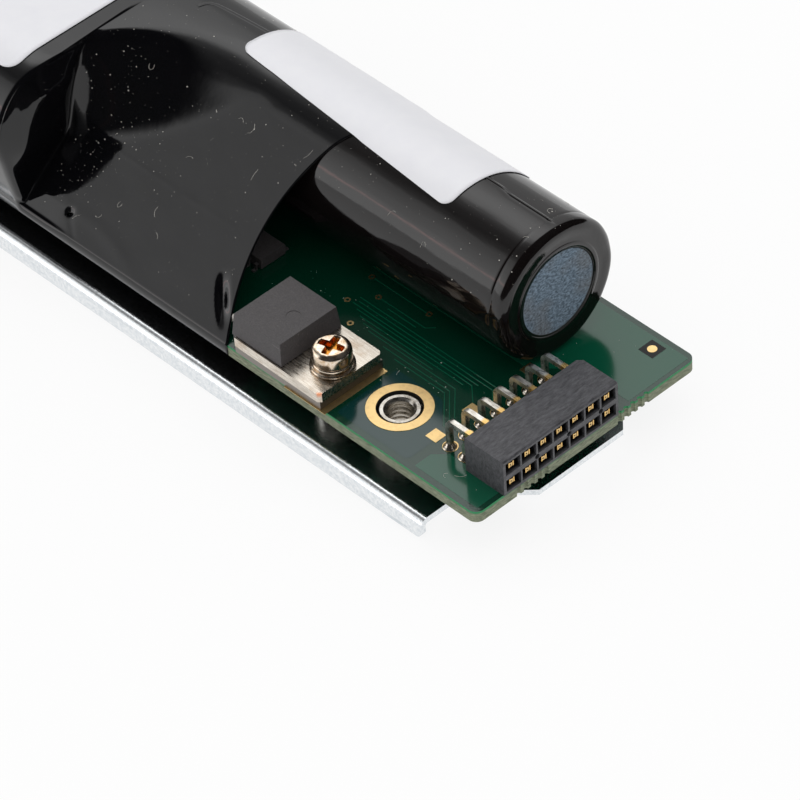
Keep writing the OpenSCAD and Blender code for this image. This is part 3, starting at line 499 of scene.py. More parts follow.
def wholeRing(front):
    # back cell's arc, the given front half, then round the board with its softened corners
    half = boardHigh.y + filmShape["standOff"]
    low = boardLow.z - filmShape["standOff"]
    radius = cellRadius + filmShape["standOff"]
    start = tangentAngle(backAxis, radius, Vector((half, boardHigh.z)), 1)
    steps = filmShape["backSteps"]
    arc = [onArc(backAxis, radius, start + (math.pi / 2 - 0.03 - start) * i / steps)
           for i in range(steps + 1)]
    turn, cut = 0.45, 0.13
    below = [(-half, low + turn), (-half + cut, low + cut), (-half + turn, low)]
    below += [(-half + 2 * half * i / 4, low) for i in range(1, 4)]
    below += [(half - turn, low), (half - cut, low + cut), (half, low + turn), (half, boardHigh.z)]
    return arc + front + [Vector(p) for p in below]


def hoodRings(places, ts, hoodedFront):
    # from the hollow cut edge back to the hood's first ring
    fronts = [[hoodedFront(x, t) for t in ts] for x in places]
    for k in range(filmShape["softening"]):
        fronts = list(zip(*[softened(along) for along in zip(*fronts)]))
    rings = []
    for x, front in zip(reversed(places), reversed(fronts)):
        ring = []
        for p in wholeRing(lifted(front, x)):
            u = (p.x + boardHigh.y) / filmShape["bowWidth"]
            hollow = 0 if p.y < boardHigh.z or not 0 < u < 1 else 4 * u * (1 - u)
            fade = max(0, 1 - (filmHigh.x - x) / filmShape["cutReach"])
            ring.append((x - filmShape["cutBow"] * hollow * fade, p.x, p.y))
        rings.append(ring)
    return rings


def drawnRings(first, last, hoodX, radius):
    # the drawn-in end over the front cell, from the hood's first ring out to the rim
    rim = filmShape["rimRadius"]
    rings = []
    for share in filmShape["drawnRings"]:
        ring = []
        for outer, inner in zip(last, first):
            p = outer.lerp(inner, share)
            depth = (p - outer).length
            if depth < rim:
                setBack = rim - math.sqrt(rim * rim - (rim - depth) ** 2)
            else:
                lean = filmShape["faceLean"] * max(0, cellZ + radius - 0.5 - p.y)
                setBack = -min(filmShape["faceBulge"], lean, 0.9 * (depth - rim)) * smoothStep(
                    1.0, 0.85, share) * smoothStep(11, 17, p.y)
            # where the skin isn't drawn in, the rings just run on along the cell
            drawn = smoothStep(0.1, 1.6, (inner - outer).length)
            setBack += (rim * (1 - share) - setBack) * (1 - drawn)
            ring.append(Vector((hoodX - 0.1 - setBack, p.x, p.y)))
        rings.append(ring)
    # softened from ring to ring, and along each ring except near the board's edge
    high = filmShape["backSteps"] + 4
    wide = filmShape["backSteps"] + filmShape["frontSteps"] + filmShape["slopeSteps"] - 12
    for k in range(filmShape["endSoftening"]):
        rings = [list(ring) for ring in zip(*[softened(across) for across in zip(*rings)])]
        rings = [ring[:high] + softened(ring[high - 1:wide + 1])[1:-1] + ring[wide:]
                 for ring in rings]
    return rings


def farRings(end, radius):
    # rounded far end, folded in
    bend, (halfY, halfZ) = filmShape["farBend"], filmShape["farHalf"]
    y, z = (backY + frontY) / 2, (cellZ + radius + boardLow.z - filmShape["standOff"]) / 2
    rings = []
    for angle in range(0, 91, 15):
        a = math.radians(angle)
        inset = bend * (1 - math.cos(a))
        rings.append([(filmLow.x + bend * (1 - math.sin(a)), y + (p.x - y) * (1 - inset / halfY),
                       z + (p.y - z) * (1 - inset / halfZ)) for p in end])
    rings.append([(filmLow.x, y + (p.x - y) * 0.85, z + (p.y - z) * 0.75) for p in end])
    return rings


def outerFilm(material):
    # the whole skin: hollow cut edge, flat slope, hood, drawn-in end and the wrap round the board
    roundFront, hoodedFront, hoodX, radius = filmSections()
    frontSteps, slopeSteps = filmShape["frontSteps"], filmShape["slopeSteps"]
    split = filmShape["hoodShare"]
    ts = [split * i / frontSteps for i in range(frontSteps)]
    ts += [split + (1 - split) * i / slopeSteps for i in range(slopeSteps + 1)]
    count = math.ceil((filmHigh.x - 0.1 - hoodX) / filmShape["ringStep"])
    places = [hoodX + i * filmShape["ringStep"] for i in range(count)] + [filmHigh.x]
    rings = hoodRings(places, ts, hoodedFront)
    first = wholeRing(lifted([hoodedFront(hoodX, t) for t in ts], hoodX))
    last = wholeRing([roundFront(t) for t in ts])
    rings += drawnRings(first, last, hoodX, radius)
    # plain stretch over both rows, with finer rings near the hood
    x = hoodX - 0.1 - filmShape["rimRadius"]
    while x > filmLow.x + 6:
        x -= 0.4 if x > -14 else 2.5
        rings.append([(x, p.x, p.y) for p in last])
    rings += farRings(last, radius)
    count = len(last)
    verts = [p for ring in rings for p in ring]
    px, pw = filmShape["pinhole"]
    slopeFrom = filmShape["backSteps"] + frontSteps

    def inPinhole(n):
        x, y = verts[n][:2]
        onSlope = slopeFrom < n % count < slopeFrom + slopeSteps and x > hoodX
        return onSlope and math.hypot(x - px, slopeWay(y) - pw) < filmShape["holeRadius"]

    faces = [face for face in gridFaces(len(rings), count) if not inPinhole(face[0])]
    film = newPiece("film_skin", verts, faces, material, "shrink_film", ["outer_film"])
    wall = film.modifiers.new("thickness", "SOLIDIFY")
    wall.thickness = filmShape["thickness"] * mm
    wall.offset = -1
    return film


seamShape = {
    "points": [(0.6, 7.5), (0.75, 8.0), (0.95, 8.5), (1.3, 8.9), (1.9, 9.25), (3.5, 9.5),
               (6, 9.75), (9, 10.0), (12, 10.2)],
    "section": [(-0.34, -0.02), (-0.22, 0.05), (-0.1, 0.06), (0, 0.015), (0.1, 0.06),
                (0.22, 0.05), (0.34, -0.02)],
    "steps": 6}


def filmSeam(material):
    # the film's own welded seam: a low double bead along the back cell's top
    points, section, steps = seamShape["points"], seamShape["section"], seamShape["steps"]
    radius = cellRadius + filmShape["standOff"]
    fine = []
    for a, b in zip(points, points[1:]):
        fine += [Vector(a).lerp(Vector(b), k / steps) for k in range(steps)]
    fine.append(Vector(points[-1]))
    verts = []
    for i, p in enumerate(fine):
        ahead = (fine[min(i + 1, len(fine) - 1)] - fine[max(i - 1, 0)]).normalized()
        side = Vector((-ahead.y, ahead.x))
        for d, up in section:
            q = p + side * d
            high = math.sqrt((radius + up) ** 2 - (q.y - backY) ** 2)
            verts.append((q.x, q.y, cellZ + high))
    newPiece("film_seam", verts, gridFaces(len(fine), len(section), closed=False), material,
             "shrink_film")


labelShape = {
    "standOff": 0.25, "stock": 0.1, "cols": 60, "rows": 26, "ends": 6,
    "long": {"setback": 43.6, "shift": 3.8, "length": 37.6, "width": 14.8, "corner": 1.4,
             "turn": -4.2},
    "wide": {"setback": 80.5, "length": 44, "width": 26, "wrap": 4.8, "corner": 2}}


def labelSheet(name, x, s, size, turn, material, node, lift):
    # printed label pressed over the cells: x along them, s the way round from the top line
    length, width, corner = size["length"], size["width"], size["corner"]
    cols, rows, ends = labelShape["cols"], labelShape["rows"], labelShape["ends"]
    radius = cellRadius + labelShape["standOff"]
    flat = backY - frontY
    turn = math.radians(turn)

    def inset(b):
        # what the rounded corners take off the length
        d = corner - (width / 2 - abs(b))
        return 0 if d <= 0 else corner - math.sqrt(max(0, corner * corner - d * d))

    edges = [width / 2 - corner * (1 - math.sin(math.pi / 2 * k / ends)) for k in range(ends)]
    bs = [-b for b in reversed(edges[1:])] + [
        (width - 2 * corner) * (k / rows - 0.5) for k in range(rows + 1)] + edges[1:]
    bs = [-width / 2] + bs + [width / 2]
    verts = []
    for b in bs:
        for c in range(cols + 1):
            a = (length / 2 - inset(b)) * (2 * c / cols - 1)
            px = x + a * math.cos(turn) - b * math.sin(turn)
            ps = s + a * math.sin(turn) + b * math.cos(turn)
            r = radius + lift(px, ps)
            if ps >= 0 or px > frontHigh.x:
                verts.append((px, backY + r * math.sin(ps / r), cellZ + r * math.cos(ps / r)))
            elif ps > -flat:
                verts.append((px, backY + ps, cellZ + r))
            else:
                past = (-ps - flat) / r
                verts.append((px, frontY - r * math.sin(past), cellZ + r * math.cos(past)))
    sheet = newPiece(name, verts, gridFaces(len(bs), cols + 1, closed=False, turned=True),
                     material, "label_stock", [node])
    stock = sheet.modifiers.new("stock", "SOLIDIFY")
    stock.thickness = labelShape["stock"] * mm
    stock.offset = -1


def labels(material):
    # both are bare: their print is left out
    long, wide = labelShape["long"], labelShape["wide"]
    faceX = nodeBox("connector_housing")[1].x
    hoodedFront = filmSections()[1]
    sections = {}

    def overCut(x, s):
        # the long label lies on the film's hood, and steps down where the film under it ends
        place = round(x * 2)
        if place not in sections:
            sections[place] = [hoodedFront(place / 2, k * 0.01) for k in range(41)]
        hood = 0
        if s < 0:
            lean = -s / cellRadius
            for p in sections[place]:
                away = p - backAxis
                if abs(math.atan2(-away.x, away.y) - lean) < 0.05:
                    hood = max(hood, away.length - cellRadius - filmShape["standOff"])
        return 0.02 + hood - 0.12 * smoothStep(filmHigh.x - 0.4, filmHigh.x + 1.2, x)

    def level(x, s):
        return 0.05

    labelSheet("part_label", faceX - long["setback"], long["shift"], long, long["turn"], material,
               "long_label", overCut)
    labelSheet("notice_label", faceX - wide["setback"] - wide["length"] / 2,
               frontY - backY + wide["width"] / 2 - wide["wrap"], wide, 0, material, "wide_label",
               level)


sleeveShape = {
    "under": 4, "step": 0.4, "soft": 1.1, "open": 5.6, "lip": 0.07, "lipRadius": 6.2,
    "crimp": ((2.5, 0), (2.35, 0.02), (2.2, 0.055), (2.05, 0.02), (1.9, 0), (1.5, 0)),
    "seam": (47.0, 59.4, 9.1), "kink": (50.4, 52.5, 0.35), "seamHeight": 0.09, "seamWidth": 0.16,
    "wave": 0.03, "wrinkle": 0.2, "around": 150}


def nearSleeve(material):
    # shrunk tube of the near cell: seam along the top, soft shoulder, folded end with a lip
    end, base = backHigh.x, backHigh.y - backY
    soft = sleeveShape["soft"]
    mouth = sleeveShape["open"]
    start, step = filmHigh.x - sleeveShape["under"], sleeveShape["step"]
    count = math.ceil((end - 2.6 - start) / step)
    profile = [(backLow.x, base)] + [(start + step * i, base) for i in range(count)]
    profile += [(end - way, base - sink) for way, sink in sleeveShape["crimp"]]
    for k in range(0, 10):
        a = math.pi / 2 * k / 9
        profile.append((end - soft + soft * math.sin(a), base - soft + soft * math.cos(a)))
    # the flat of the folded end, the lip round its opening, and the edge inside the lip
    lip, lipRadius = sleeveShape["lip"], sleeveShape["lipRadius"]
    for k in range(1, 13):
        r = base - soft - (base - soft - lipRadius - 0.3) * k / 12
        profile.append((end - 0.01 - 0.06 * smoothStep(7.9, 6.9, r), r))
    for k in range(1, 9):
        a = math.pi * k / 8
        profile.append((end - 0.07 + lip * math.sin(a), lipRadius + 0.3 * math.cos(a)))
    profile += [(end - 0.08, 5.75), (end - 0.11, mouth + 0.02), (end - 0.125, mouth)]
    seamFrom, seamTo, seamY = sleeveShape["seam"]
    kinkFrom, kinkTo, kinkWidth = sleeveShape["kink"]
    seamAngle = math.asin((seamY - backY) / base)
    # even steps round the cell, and close ones at the seam
    around = sleeveShape["around"]
    angles = sorted([2 * math.pi * k / around for k in range(around)]
                    + [(seamAngle + d * 0.005) % (2 * math.pi) for d in range(-9, 12)])
    verts = []
    for x, r in profile:
        body = smoothStep(end - 0.4, end - 1.4, x)
        shoulder = hill(x - (end - 0.75), 0.55)
        for a in angles:
            across, up = math.sin(a), math.cos(a)
            point = Vector((x * 0.16, across * 2.1, up * 2.1))
            lift = sleeveShape["wave"] * noise.noise(point) * smoothStep(-0.1, -1.0, x - end)
            lift += 0.05 * shoulder * noise.noise(Vector((5.0, across * 4.2, up * 4.2)))
            # creases gathered under the cell's front quarter near its end
            under = hill(a - math.radians(250), 0.42)
            if under > 0.02:
                fine = noise.noise(Vector((x * 0.35, a * 13, 2.0)))
                lift -= sleeveShape["wrinkle"] * under * abs(fine) * smoothStep(40, 52, x)
            way = (a - seamAngle) * r
            way += kinkWidth * (smoothStep(kinkFrom, kinkTo, x) - 0.5)
            along = smoothStep(seamFrom, seamFrom + 1, x) * smoothStep(seamTo, seamTo - 0.5, x)
            lift += along * sleeveShape["seamHeight"] * (
                hill(way, sleeveShape["seamWidth"]) - 0.7 * hill(way + 0.3, 0.14))
            lift *= smoothStep(7.0, 8.2, r)
            pull = 0.06 * (1 - body) * noise.noise(Vector((9.0, across * 3, up * 3)))
            verts.append((min(end, x + pull * smoothStep(7.0, 8.2, r)),
                          backY + (r + lift) * across, cellZ + (r + lift) * up))
    return newPiece("sleeve_skin", verts, gridFaces(len(profile), len(angles)), material,
                    "sleeve_film", ["near_sleeve"])


boardShape = {
    "track": 0.16, "height": 0.025, "viaOuter": 0.42, "viaInner": 0.2, "clearing": 2.3,
    "aimingMark": (68.05, 15.36), "fixingHole": (53.8, -11.4), "padEdge": 4.15,
    # how far the bare ground reaches from the hole: +X, -X, +Y, -Y and the slanted corner
    "bareReach": (6.9, 4.8, 4.2, 5.5, 4.9),
    "tracks": [
        [(35.2, 1.9), (44.85, 1.9)], [(38.36, -0.05), (46.2, -0.05), (47.1, 0.85)],
        [(40.6, -0.7), (45.4, -0.7)], [(36.8, -1.5), (60.3, -1.5), (61.6, -0.2)],
        [(37.2, -2.1), (59.5, -2.1), (61.9, -4.4)], [(36.7, -2.7), (57.8, -2.7)],
        [(38.0, -3.2), (57.2, -3.2), (61.7, -7.2)], [(39.1, -3.8), (56.4, -3.8)],
        [(40.3, -4.4), (52, -4.4)], [(41.7, -4.9), (56.2, -4.9), (59.7, -8.4)],
        [(44.9, -5.6), (56.0, -5.6), (59.8, -9.3), (60.6, -9.3)],
        [(47.4, -6.2), (55.8, -6.2), (59.7, -10.1), (60.8, -10.1)]],
    "pours": [
        [(34, 3.2), (59.8, 3.2), (64.2, 7.2), (72.2, 7.2), (72.2, 17.05), (34, 17.05)],
        [(62.0, -16.95), (62.0, -14.4), (63.6, -12.9), (72.1, -12.9), (72.1, -16.95)]],
    "vias": [(35.2, 1.9), (38.36, -0.05), (44.85, 1.95), (39.23, -5.44), (36.0, -2.85)]}


def flatTrack(points, width, low, high):
    # a raised line of even width through the points, mitred at its bends
    verts = []
    for i, p in enumerate(points):
        before = Vector(points[max(0, i - 1)])
        after = Vector(points[min(len(points) - 1, i + 1)])
        ahead = (after - before).normalized()
        side = Vector((-ahead.y, ahead.x)) * width / 2
        for d, z in ((-1, low), (-0.8, high), (0.8, high), (1, low)):
            verts.append((p[0] + d * side.x, p[1] + d * side.y, z))
    ends = [(0, 1, 2, 3), tuple(len(verts) - 1 - k for k in range(4))]
    return verts, gridFaces(len(points), 4, closed=False) + ends


def plateShape(outline, low, high):
    # a flat plate from its outline
    count = len(outline)
    verts = [(x, y, low) for x, y in outline] + [(x, y, high) for x, y in outline]
    faces = [tuple(range(count, 2 * count))]
    faces += [(i, (i + 1) % count, count + (i + 1) % count, count + i) for i in range(count)]
    return verts, faces


def lathe(profile, x, y, steps=32):
    # a turned shape about an upright axis; the profile is radius and height
    angles = [2 * math.pi * k / steps for k in range(steps)]
    verts = [(x + r * math.cos(a), y + r * math.sin(a), z) for r, z in profile for a in angles]
    return verts, gridFaces(len(profile), steps, turned=True)


def joined(parts):
    verts, faces = [], []
    for more, their in parts:
        faces += [tuple(i + len(verts) for i in face) for face in their]
        verts += more
    return verts, faces


def boardCopper(coated, gold, black, teal):
    # what the mask covers and what it leaves bare
    z = boardHigh.z
    high = z + boardShape["height"]
    tracks = [flatTrack(t, boardShape["track"], z, high) for t in boardShape["tracks"]]
    newPiece("board_tracks", *joined(tracks), coated, "fibreglass_board", smooth=False)
    around = []
    holeX, holeY = boardShape["fixingHole"]
    for k in range(72):
        # bare ground round the fixing hole: from the ring pad's edge out to straight borders
        a = 2 * math.pi * k / 72
        way = (math.cos(a), math.sin(a))
        sides = (way[0], -way[0], way[1], -way[1], (way[0] + way[1]) * 0.707)
        reach = min(room / far for room, far in zip(boardShape["bareReach"], sides)
                    if far > 0.001)
        around.append([(holeX + way[0] * r, holeY + way[1] * r)
                       for r in (boardShape["padEdge"], reach)])
    ringed = [[a[0], a[1], b[1], b[0]] for a, b in zip(around, around[1:] + around[:1])]
    newPiece("bare_area", *joined([plateShape(o, z, high - 0.012) for o in ringed]), teal,
             "fibreglass_board", smooth=False)
    pours = [plateShape(o, z, high - 0.01) for o in boardShape["pours"]]
    newPiece("board_pours", *joined(pours), coated, "fibreglass_board", smooth=False)
    outer, inner = boardShape["viaOuter"], boardShape["viaInner"]
    ring = [(inner, z), (inner, high + 0.02), (outer, high + 0.02), (outer, z)]
    vias = [lathe(ring, x, y, 20) for x, y in boardShape["vias"]]
    newPiece("board_vias", *joined(vias), gold, "gold_plate", smooth=False)
    half = boardShape["clearing"] / 2
    x, y = boardShape["aimingMark"]
    square = [(x - half, y - half), (x + half, y - half), (x + half, y + half),
              (x - half, y + half)]
    newPiece("fiducial_clearing", *plateShape(square, z, high), black, "fibreglass_board",
             smooth=False)


contactShape = {
    "goldFrom": 65.6, "pitch": 2.54, "columns": 7, "rows": (8.55, 11.05), "tails": (7.75, 10.3),
    "tip": 0.56, "tipWall": 0.17, "tipDepth": 0.35, "solder": 0.85}


def contactEnds(gold, tin):
    # folded mating tips in the openings, and solder round each tail
    faceX = nodeBox("connector_housing")[1].x
    low = nodeBox("lower_contacts")[0]
    size, wall = contactShape["tip"] / 2, contactShape["tipWall"]
    tips, joints = [], []
    z = boardHigh.z
    for k in range(contactShape["columns"]):
        y = low.y + 0.32 + k * contactShape["pitch"]
        for height in contactShape["rows"]:
            front = faceX - contactShape["tipDepth"]
            verts = []
            for x, r in ((front - 1.2, size), (front, size), (front, size - wall),
                         (front - 0.8, size - wall)):
                verts += [(x, y + a * r * 0.9, height - 0.08 + b * r)
                          for a, b in ((-1, -1), (1, -1), (1, 1), (-1, 1))]
            tips.append((verts, gridFaces(4, 4, turned=True) + [(12, 13, 14, 15)]))
        for setback in contactShape["tails"]:
            r = contactShape["solder"]
            joints.append(lathe([(r, z), (r, z + 0.06), (r * 0.8, z + 0.13), (r * 0.6, z + 0.3),
                                 (0.42, z + 0.55), (0.3, z + 0.62)], faceX - setback, y, 24))
    newPiece("contact_tips", *joined(tips), gold, "gold_plate", smooth=False)
    newPiece("solder_joints", *joined(joints), tin, "gold_plate")


threadShape = {"bore": 1.62, "pitch": 0.7, "rise": 0.2, "half": 0.3, "inset": 0.6, "steps": 40}


def neckThread(material):
    # thread in the fixing hole's neck
    low, high = nodeBox("locating_standoff")
    x, y = (low.x + high.x) / 2, (low.y + high.y) / 2
    bore, pitch, steps = threadShape["bore"], threadShape["pitch"], threadShape["steps"]
    half, inset = threadShape["half"], threadShape["inset"]
    turns = int((high.z - pitch - low.z - inset) / pitch)
    verts = []
    for k in range(turns * steps + 1):
        a = 2 * math.pi * k / steps
        z = low.z + inset + pitch * k / steps
        for r, up in ((bore + 0.02, -half), (bore - threadShape["rise"], 0), (bore + 0.02, half)):
            verts.append((x + r * math.cos(a), y + r * math.sin(a), z + up))
    newPiece("neck_thread", verts, gridFaces(turns * steps + 1, 3, closed=False), material,
             "turned_steel")


screwShape = {
    "head": 2.42, "height": 2.05, "arm": 1.66, "armWidth": 0.46, "depth": 0.85, "turn": 18,
    "steps": 120, "dome": 0.06, "flat": 28,
    # the head's rounded shoulder: radius and how far under the top
    "shoulder": ((1.8, 0.03), (1.95, 0.08), (2.08, 0.15), (2.18, 0.23), (2.27, 0.34),
                 (2.34, 0.48), (2.39, 0.66), (2.42, 0.9)),
    "washerBore": 1.4, "washerEdge": 0.12, "washers": (
        ("flat_washer_ring", "flat_washer", 2.72), ("spring_washer_ring", "spring_washer", 2.44))}


def keepEdges(piece, angle):
    # edges sharper than the angle stay sharp in the smooth shading
    split = piece.modifiers.new("edges", "EDGE_SPLIT")
    split.split_angle = math.radians(angle)


def screwStack(material):
    # pan head with a cross recess, split spring washer and flat washer
    low, high = nodeBox("resistor_screw")
    x, y = (low.x + high.x) / 2, (low.y + high.y) / 2
    top, base = high.z, high.z - screwShape["height"]
    head, steps, dome = screwShape["head"], screwShape["steps"], screwShape["dome"]
    arm, depth = screwShape["arm"], screwShape["depth"]
    profile = [(0.06 * (k + 1), top) for k in range(screwShape["flat"])]
    profile += [(r, top - under) for r, under in screwShape["shoulder"]]
    profile += [(head, base + 0.35), (head - 0.03, base + 0.12), (head - 0.12, base)]
    verts = [(x, y, top - depth)]
    for r, z in profile:
        for k in range(steps):
            a = 2 * math.pi * k / steps
            turned = a - math.radians(screwShape["turn"])
            along = max(abs(math.cos(turned)), abs(math.sin(turned))) * r
            across = min(abs(math.cos(turned)), abs(math.sin(turned))) * r
            narrow = screwShape["armWidth"] * (1 - 0.2 * along / arm)
            cut = smoothStep(narrow + 0.07, narrow - 0.02, across)
            cut *= smoothStep(arm + 0.06, arm - 0.5, along)
            verts.append((x + r * math.cos(a), y + r * math.sin(a),
                          min(top, z - dome + dome * (1 - (r / head) ** 2)) - cut * depth))
    faces = [(0, 1 + k, 1 + (k + 1) % steps) for k in range(steps)]
    faces += gridFaces(len(profile), steps, turned=True, start=1)
    keepEdges(newPiece("screw_head", verts, faces, material, "plated_screw_steel",
                       ["resistor_screw"]), 40)
    bore, edge = screwShape["washerBore"], screwShape["washerEdge"]
    for name, node, outer in screwShape["washers"]:
        a, b = nodeBox(node)
        section = [(bore, a.z), (outer - edge, a.z), (outer, a.z + edge), (outer, b.z - edge),
                   (outer - edge, b.z), (bore, b.z), (bore, a.z)]
        keepEdges(newPiece(name, *lathe(section, x, y, 64), material, "plated_screw_steel",
                           [node]), 50)


dustShape = {"seed": 11, "count": 1000, "small": 0.02, "large": 0.085, "hairs": 30,
             "hairStep": 0.17, "hairWidth": 0.017, "ceiling": 25.95}


def dust(material, under):
    # specks and lint that settled on the upward faces
    trees = []
    for piece in under:
        mesh = piece.data
        trees.append(BVHTree.FromPolygons([v.co / mm for v in mesh.vertices],
                                          [tuple(f.vertices) for f in mesh.polygons]))
    draw = random.Random(dustShape["seed"])

    def landed(x, y):
        best, way = Vector((x, y, boardHigh.z)), Vector((0, 0, 1))
        for tree in trees:
            spot, normal = tree.ray_cast(Vector((x, y, 40)), Vector((0, 0, -1)))[:2]
            if spot and spot.z > best.z:
                best, way = spot, normal if normal.z > 0 else -normal
        return best, way

    verts, faces = [], []

    def speck(spot, way, size):
        one = way.orthogonal().normalized()
        two = way.cross(one)
        start = len(verts)
        turn = draw.uniform(0, 6)
        for k in range(5):
            a = turn + 2 * math.pi * k / 5
            reach = size * draw.uniform(0.6, 1.3)
            verts.append(spot + (one * math.cos(a) + two * math.sin(a)) * reach)
        verts.append(spot + way * size * 0.7)
        faces.extend((start + k, start + (k + 1) % 5, start + 5) for k in range(5))

    # one speck in seven goes to the thick scatter on the hood, the others lie everywhere
    small, large = dustShape["small"], dustShape["large"]
    for k in range(dustShape["count"]):
        if k % 7:
            x, y = draw.uniform(-5, 70), draw.uniform(-17, 17)
        else:
            x, y = draw.gauss(1, 3.5), draw.gauss(-8, 3.5)
        spot, way = landed(x, y)
        if way.z > 0.25 and x > -5 and abs(y) < 17.5:
            speck(spot, way, small + (large - small) * draw.random() ** 5)
    step, width = dustShape["hairStep"], dustShape["hairWidth"]
    for k in range(dustShape["hairs"]):
        x, y, heading = draw.uniform(-4, 68), draw.uniform(-16, 16), draw.uniform(0, 6.3)
        curl = draw.uniform(-1.0, 1.0)
        start = len(verts)
        steps = draw.randint(5, 9)
        for j in range(steps + 1):
            spot, way = landed(x, y)
            side = Vector((-math.sin(heading), math.cos(heading), 0))
            verts.extend((spot + side * width + way * 0.01, spot + way * 0.035,
                          spot - side * width + way * 0.01))
            x += step * math.cos(heading)
            y += step * math.sin(heading)
            heading += curl * draw.uniform(0.2, 0.9)
        # a hair that would hang over an edge, or stand above the part, is left out
        heights = [v.z for v in verts[start:]]
        if max(heights) - min(heights) > 1.0 or max(heights) > dustShape["ceiling"]:
            del verts[start:]
            continue
        faces.extend(gridFaces(steps + 1, 3, closed=False, start=start))
    newPiece("settled_dust", verts, faces, material, "label_stock")


film = shrinkFilm()
sleeve = cellSleeve()
mask = solderMask()
gold = goldPlate()
contact = tinnedContact()
nylon = mouldedNylon()
epoxy = mouldedEpoxy()
screwSteel = passivatedScrew()
fibre = fibreSheet()
paper = labelPaper()
turned = turnedSteel()
# the metal under this mask makes its green lighter and warmer
coated = plainMaterial("solder mask on copper", "#084a35", 0.13, IOR=1.62)
# dark resin under clear mask, and the bare square round the aiming mark
teal = plainMaterial("solder mask on dark laminate", "#04302e", 0.13, IOR=1.62)
black = plainMaterial("bare laminate, dark", "#07090a", 0.6)
# warm satin metals: rolled, tumbled, drawn, and solder that set bright
strip = plainMaterial("nickel strip, rolled", "#c9c6c0", 0.3, Metallic=1.0)
plate = plainMaterial("aluminium plate, tumbled", "#8c8680", 0.45, Metallic=1.0)
can = plainMaterial("steel can, nickel-plated", "#aab0b8", 0.35, Metallic=1.0)
solder = plainMaterial("tin solder, reflowed", "#c8c2b6", 0.22, Metallic=1.0)
# open-celled foam swallows the light; fired clay and lint are chalky; the tape is glossy amber
foam = plainMaterial("polyurethane foam, cut", "#26262a", 0.9)
ceramic = plainMaterial("ceramic, fired", "#c8b898", 0.6)
lint = plainMaterial("dust and lint, settled", "#c8c4bc", 0.9)
tape = plainMaterial("polyimide tape", "#a8742c", 0.35)

finishes = {
    "tray": zincSheet(), "locating_standoff": turned, "resistor_standoff": turned,
    "foam_pads": foam, "circuit_board": mask, "plated_pads": gold,
    "connector_housing": nylon, "upper_contacts": contact, "lower_contacts": contact,
    "resistor_body": epoxy, "resistor_tab": nickelTab(), "resistor_leads": contact,
    "heat_plate": plate, "resistor_screw": screwSteel, "spring_washer": screwSteel,
    "flat_washer": screwSteel, "gauge_chip": epoxy, "switch_transistors": epoxy,
    "cell_fuse": ceramic, "board_capacitors": ceramic, "thermistor": epoxy,
    "cell_tape": tape, "near_cell": can, "far_cell": can, "front_cell": can,
    "near_sleeve": sleeve, "far_sleeve": sleeve, "front_sleeve": sleeve,
    "end_disc": fibre, "near_strip": strip, "middle_strip": strip, "far_strip": strip,
    "end_paper": fibre, "outer_film": film, "long_label": paper, "wide_label": paper}
for node, finish in finishes.items():
    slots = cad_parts[node].data.materials
    slots.clear()
    slots.append(finish)
print("materials set")

skin = outerFilm(film)
filmSeam(film)
tube = nearSleeve(sleeve)
labels(paper)
print("film, sleeve and labels made")

boardCopper(coated, gold, black, teal)
contactEnds(gold, solder)
neckThread(turned)
screwStack(screwSteel)
dust(lint, [skin, tube])
print("board details and dust made")


studio = {
    "top": 3.8,  # strength of the brightest tube
    "overhead": 0.06,  # what gloss sees in the dark stretch
    "edge": -0.445, "soft": 0.17,  # where a softbox ends across the cells, and how softly
    "overhang": 0.3,  # how much further it reaches straight up
    "low": 0.3, "high": 1.35,  # the matt surfaces' light, from the horizon and from above
    # brightness by the angle in degrees from straight up towards the front
    "glow": {-180: 0.9, -125: 1.1, -115: 1.0, -97: 0.7, -77: 0.6, -50: 0.85, -37: 1.4,
             -27: 1.95, -17: 2.2, -8: 2.05, 2: 0.6, 12: 0.25, 24: 0.18, 33: 0.4, 37: 0.85,
             43: 1.0, 53: 1.3, 63: 1.5, 71: 1.8, 73: 3.8, 75: 1.9, 93: 1.85, 103: 1.4, 115: 1.2,
             180: 0.9}}


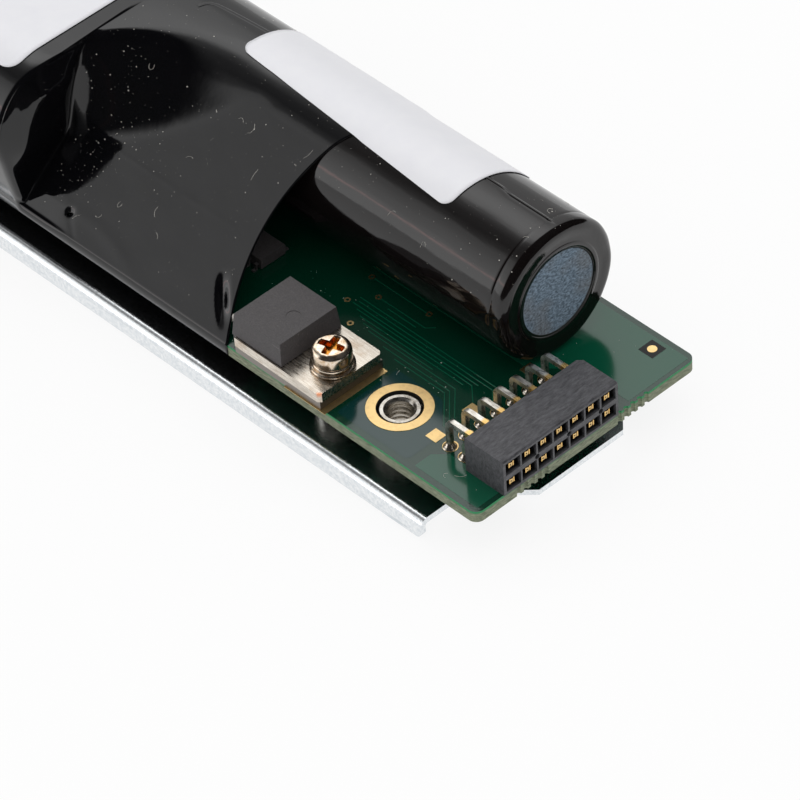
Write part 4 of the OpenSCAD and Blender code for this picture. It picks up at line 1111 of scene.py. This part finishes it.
def studioLight():
    # Long softboxes that gloss sees, with a dark stretch overhead on the camera's side. Matt
    # surfaces get a plain white light instead, which comes more from above than from below.
    top, edge, soft = studio["top"], studio["edge"], studio["soft"] / 2
    world = bpy.data.worlds.new("studio")
    scene.world = world
    world.use_nodes = True
    tree = world.node_tree
    tree.nodes.clear()
    point = add(tree, "TexCoord").outputs["Generated"]
    axes = add(tree, "SeparateXYZ", point).outputs
    forward = add(tree, "Math", axes["Y"], -1.0, operation="MULTIPLY")
    angle = add(tree, "Math", forward, axes["Z"], operation="ARCTAN2")
    ramp = add(tree, "ValToRGB", add(tree, "MapRange", angle, -math.pi, math.pi))
    stops = ramp.color_ramp.elements
    while len(stops) < len(studio["glow"]):
        stops.new(1)
    for stop, (degrees, value) in zip(stops, studio["glow"].items()):
        stop.position = (degrees + 180) / 360
        # the brightest tube is a little red
        warm = (0.72, 0.7) if value > 3 else (1, 1)
        stop.color = [value / top, value / top * warm[0], value / top * warm[1], 1]
    # where it is dark: above the horizon, short of the softbox, and not behind
    above = add(tree, "MapRange", axes["Z"], -0.25, 0.0)
    behind = add(tree, "MapRange", angle, math.radians(135), math.radians(170), 1, 0)
    # straight up the softbox reaches further over
    reach = add(tree, "MapRange", angle, math.radians(-20), math.radians(32),
                -studio["overhang"], 0)
    across = add(tree, "Math", axes["X"], reach)
    near = add(tree, "MapRange", across, edge - soft, edge + soft,
               interpolation_type="SMOOTHSTEP")
    dark = add(tree, "Math", above, near, operation="MULTIPLY")
    dark = add(tree, "Math", dark, behind, operation="MULTIPLY")
    shade = add(tree, "MapRange", dark, 0, 1, top, studio["overhead"])
    seen = add(tree, "Background", ramp, shade)
    fall = add(tree, "MapRange", axes["Z"], 0, 1, studio["low"], studio["high"])
    even = add(tree, "Background", "#ffffff", fall)
    white = add(tree, "Background", "#ffffff", 1.0)
    path = add(tree, "LightPath").outputs
    matt = add(tree, "MixShader", path["Is Glossy Ray"], even, seen)
    add(tree, "OutputWorld", add(tree, "MixShader", path["Is Camera Ray"], matt, white))


floorShape = {"half": 1500, "white": 0.86}


def paleFloor():
    # Matt white floor that keeps a light shadow
    material, tree, shader = newMaterial("floor, matt white", Base_Color="#f4f4f4", Roughness=0.9)
    path = add(tree, "LightPath").outputs
    rays = add(tree, "Math", path["Is Camera Ray"], path["Is Glossy Ray"], operation="ADD")
    seen = add(tree, "Math", rays, floorShape["white"], operation="MULTIPLY")
    white = add(tree, "Emission", "#ffffff", 1.0)
    fill(tree.nodes["Material Output"], add(tree, "MixShader", seen, shader, white))
    half = floorShape["half"] * mm
    mesh = bpy.data.meshes.new("floor")
    mesh.from_pydata([(-half, -half, 0), (half, -half, 0), (half, half, 0), (-half, half, 0)],
                     [], [(0, 1, 2, 3)])
    mesh.materials.append(material)
    floor = bpy.data.objects.new("floor", mesh)
    scene.collection.objects.link(floor)


cameraView = {"place": (397.28, -310.99, 432.91), "azimuth": 48.896, "height": 42.963,
              "roll": -3.987, "lens": 244.94}


def setCamera():
    # A long lens above the socket's corner, turned a little
    azimuth, height, roll = (math.radians(cameraView[k]) for k in ("azimuth", "height", "roll"))
    back = Vector((math.sin(azimuth) * math.cos(height),
                   -math.cos(azimuth) * math.cos(height), math.sin(height)))
    right = Vector((math.cos(azimuth), math.sin(azimuth), 0))
    up = back.cross(right)
    across = right * math.cos(roll) + up * math.sin(roll)
    top = up * math.cos(roll) - right * math.sin(roll)
    lens = bpy.data.cameras.new("camera")
    lens.lens = cameraView["lens"]
    lens.sensor_width = 36
    lens.clip_start = 0.05
    camera = bpy.data.objects.new("camera", lens)
    turn = Matrix((across, top, back)).transposed().to_4x4()
    camera.matrix_world = Matrix.Translation(Vector(cameraView["place"]) * mm) @ turn
    scene.collection.objects.link(camera)
    scene.camera = camera


studioLight()
paleFloor()
setCamera()
scene.view_settings.view_transform = "Standard"
print("studio ready")
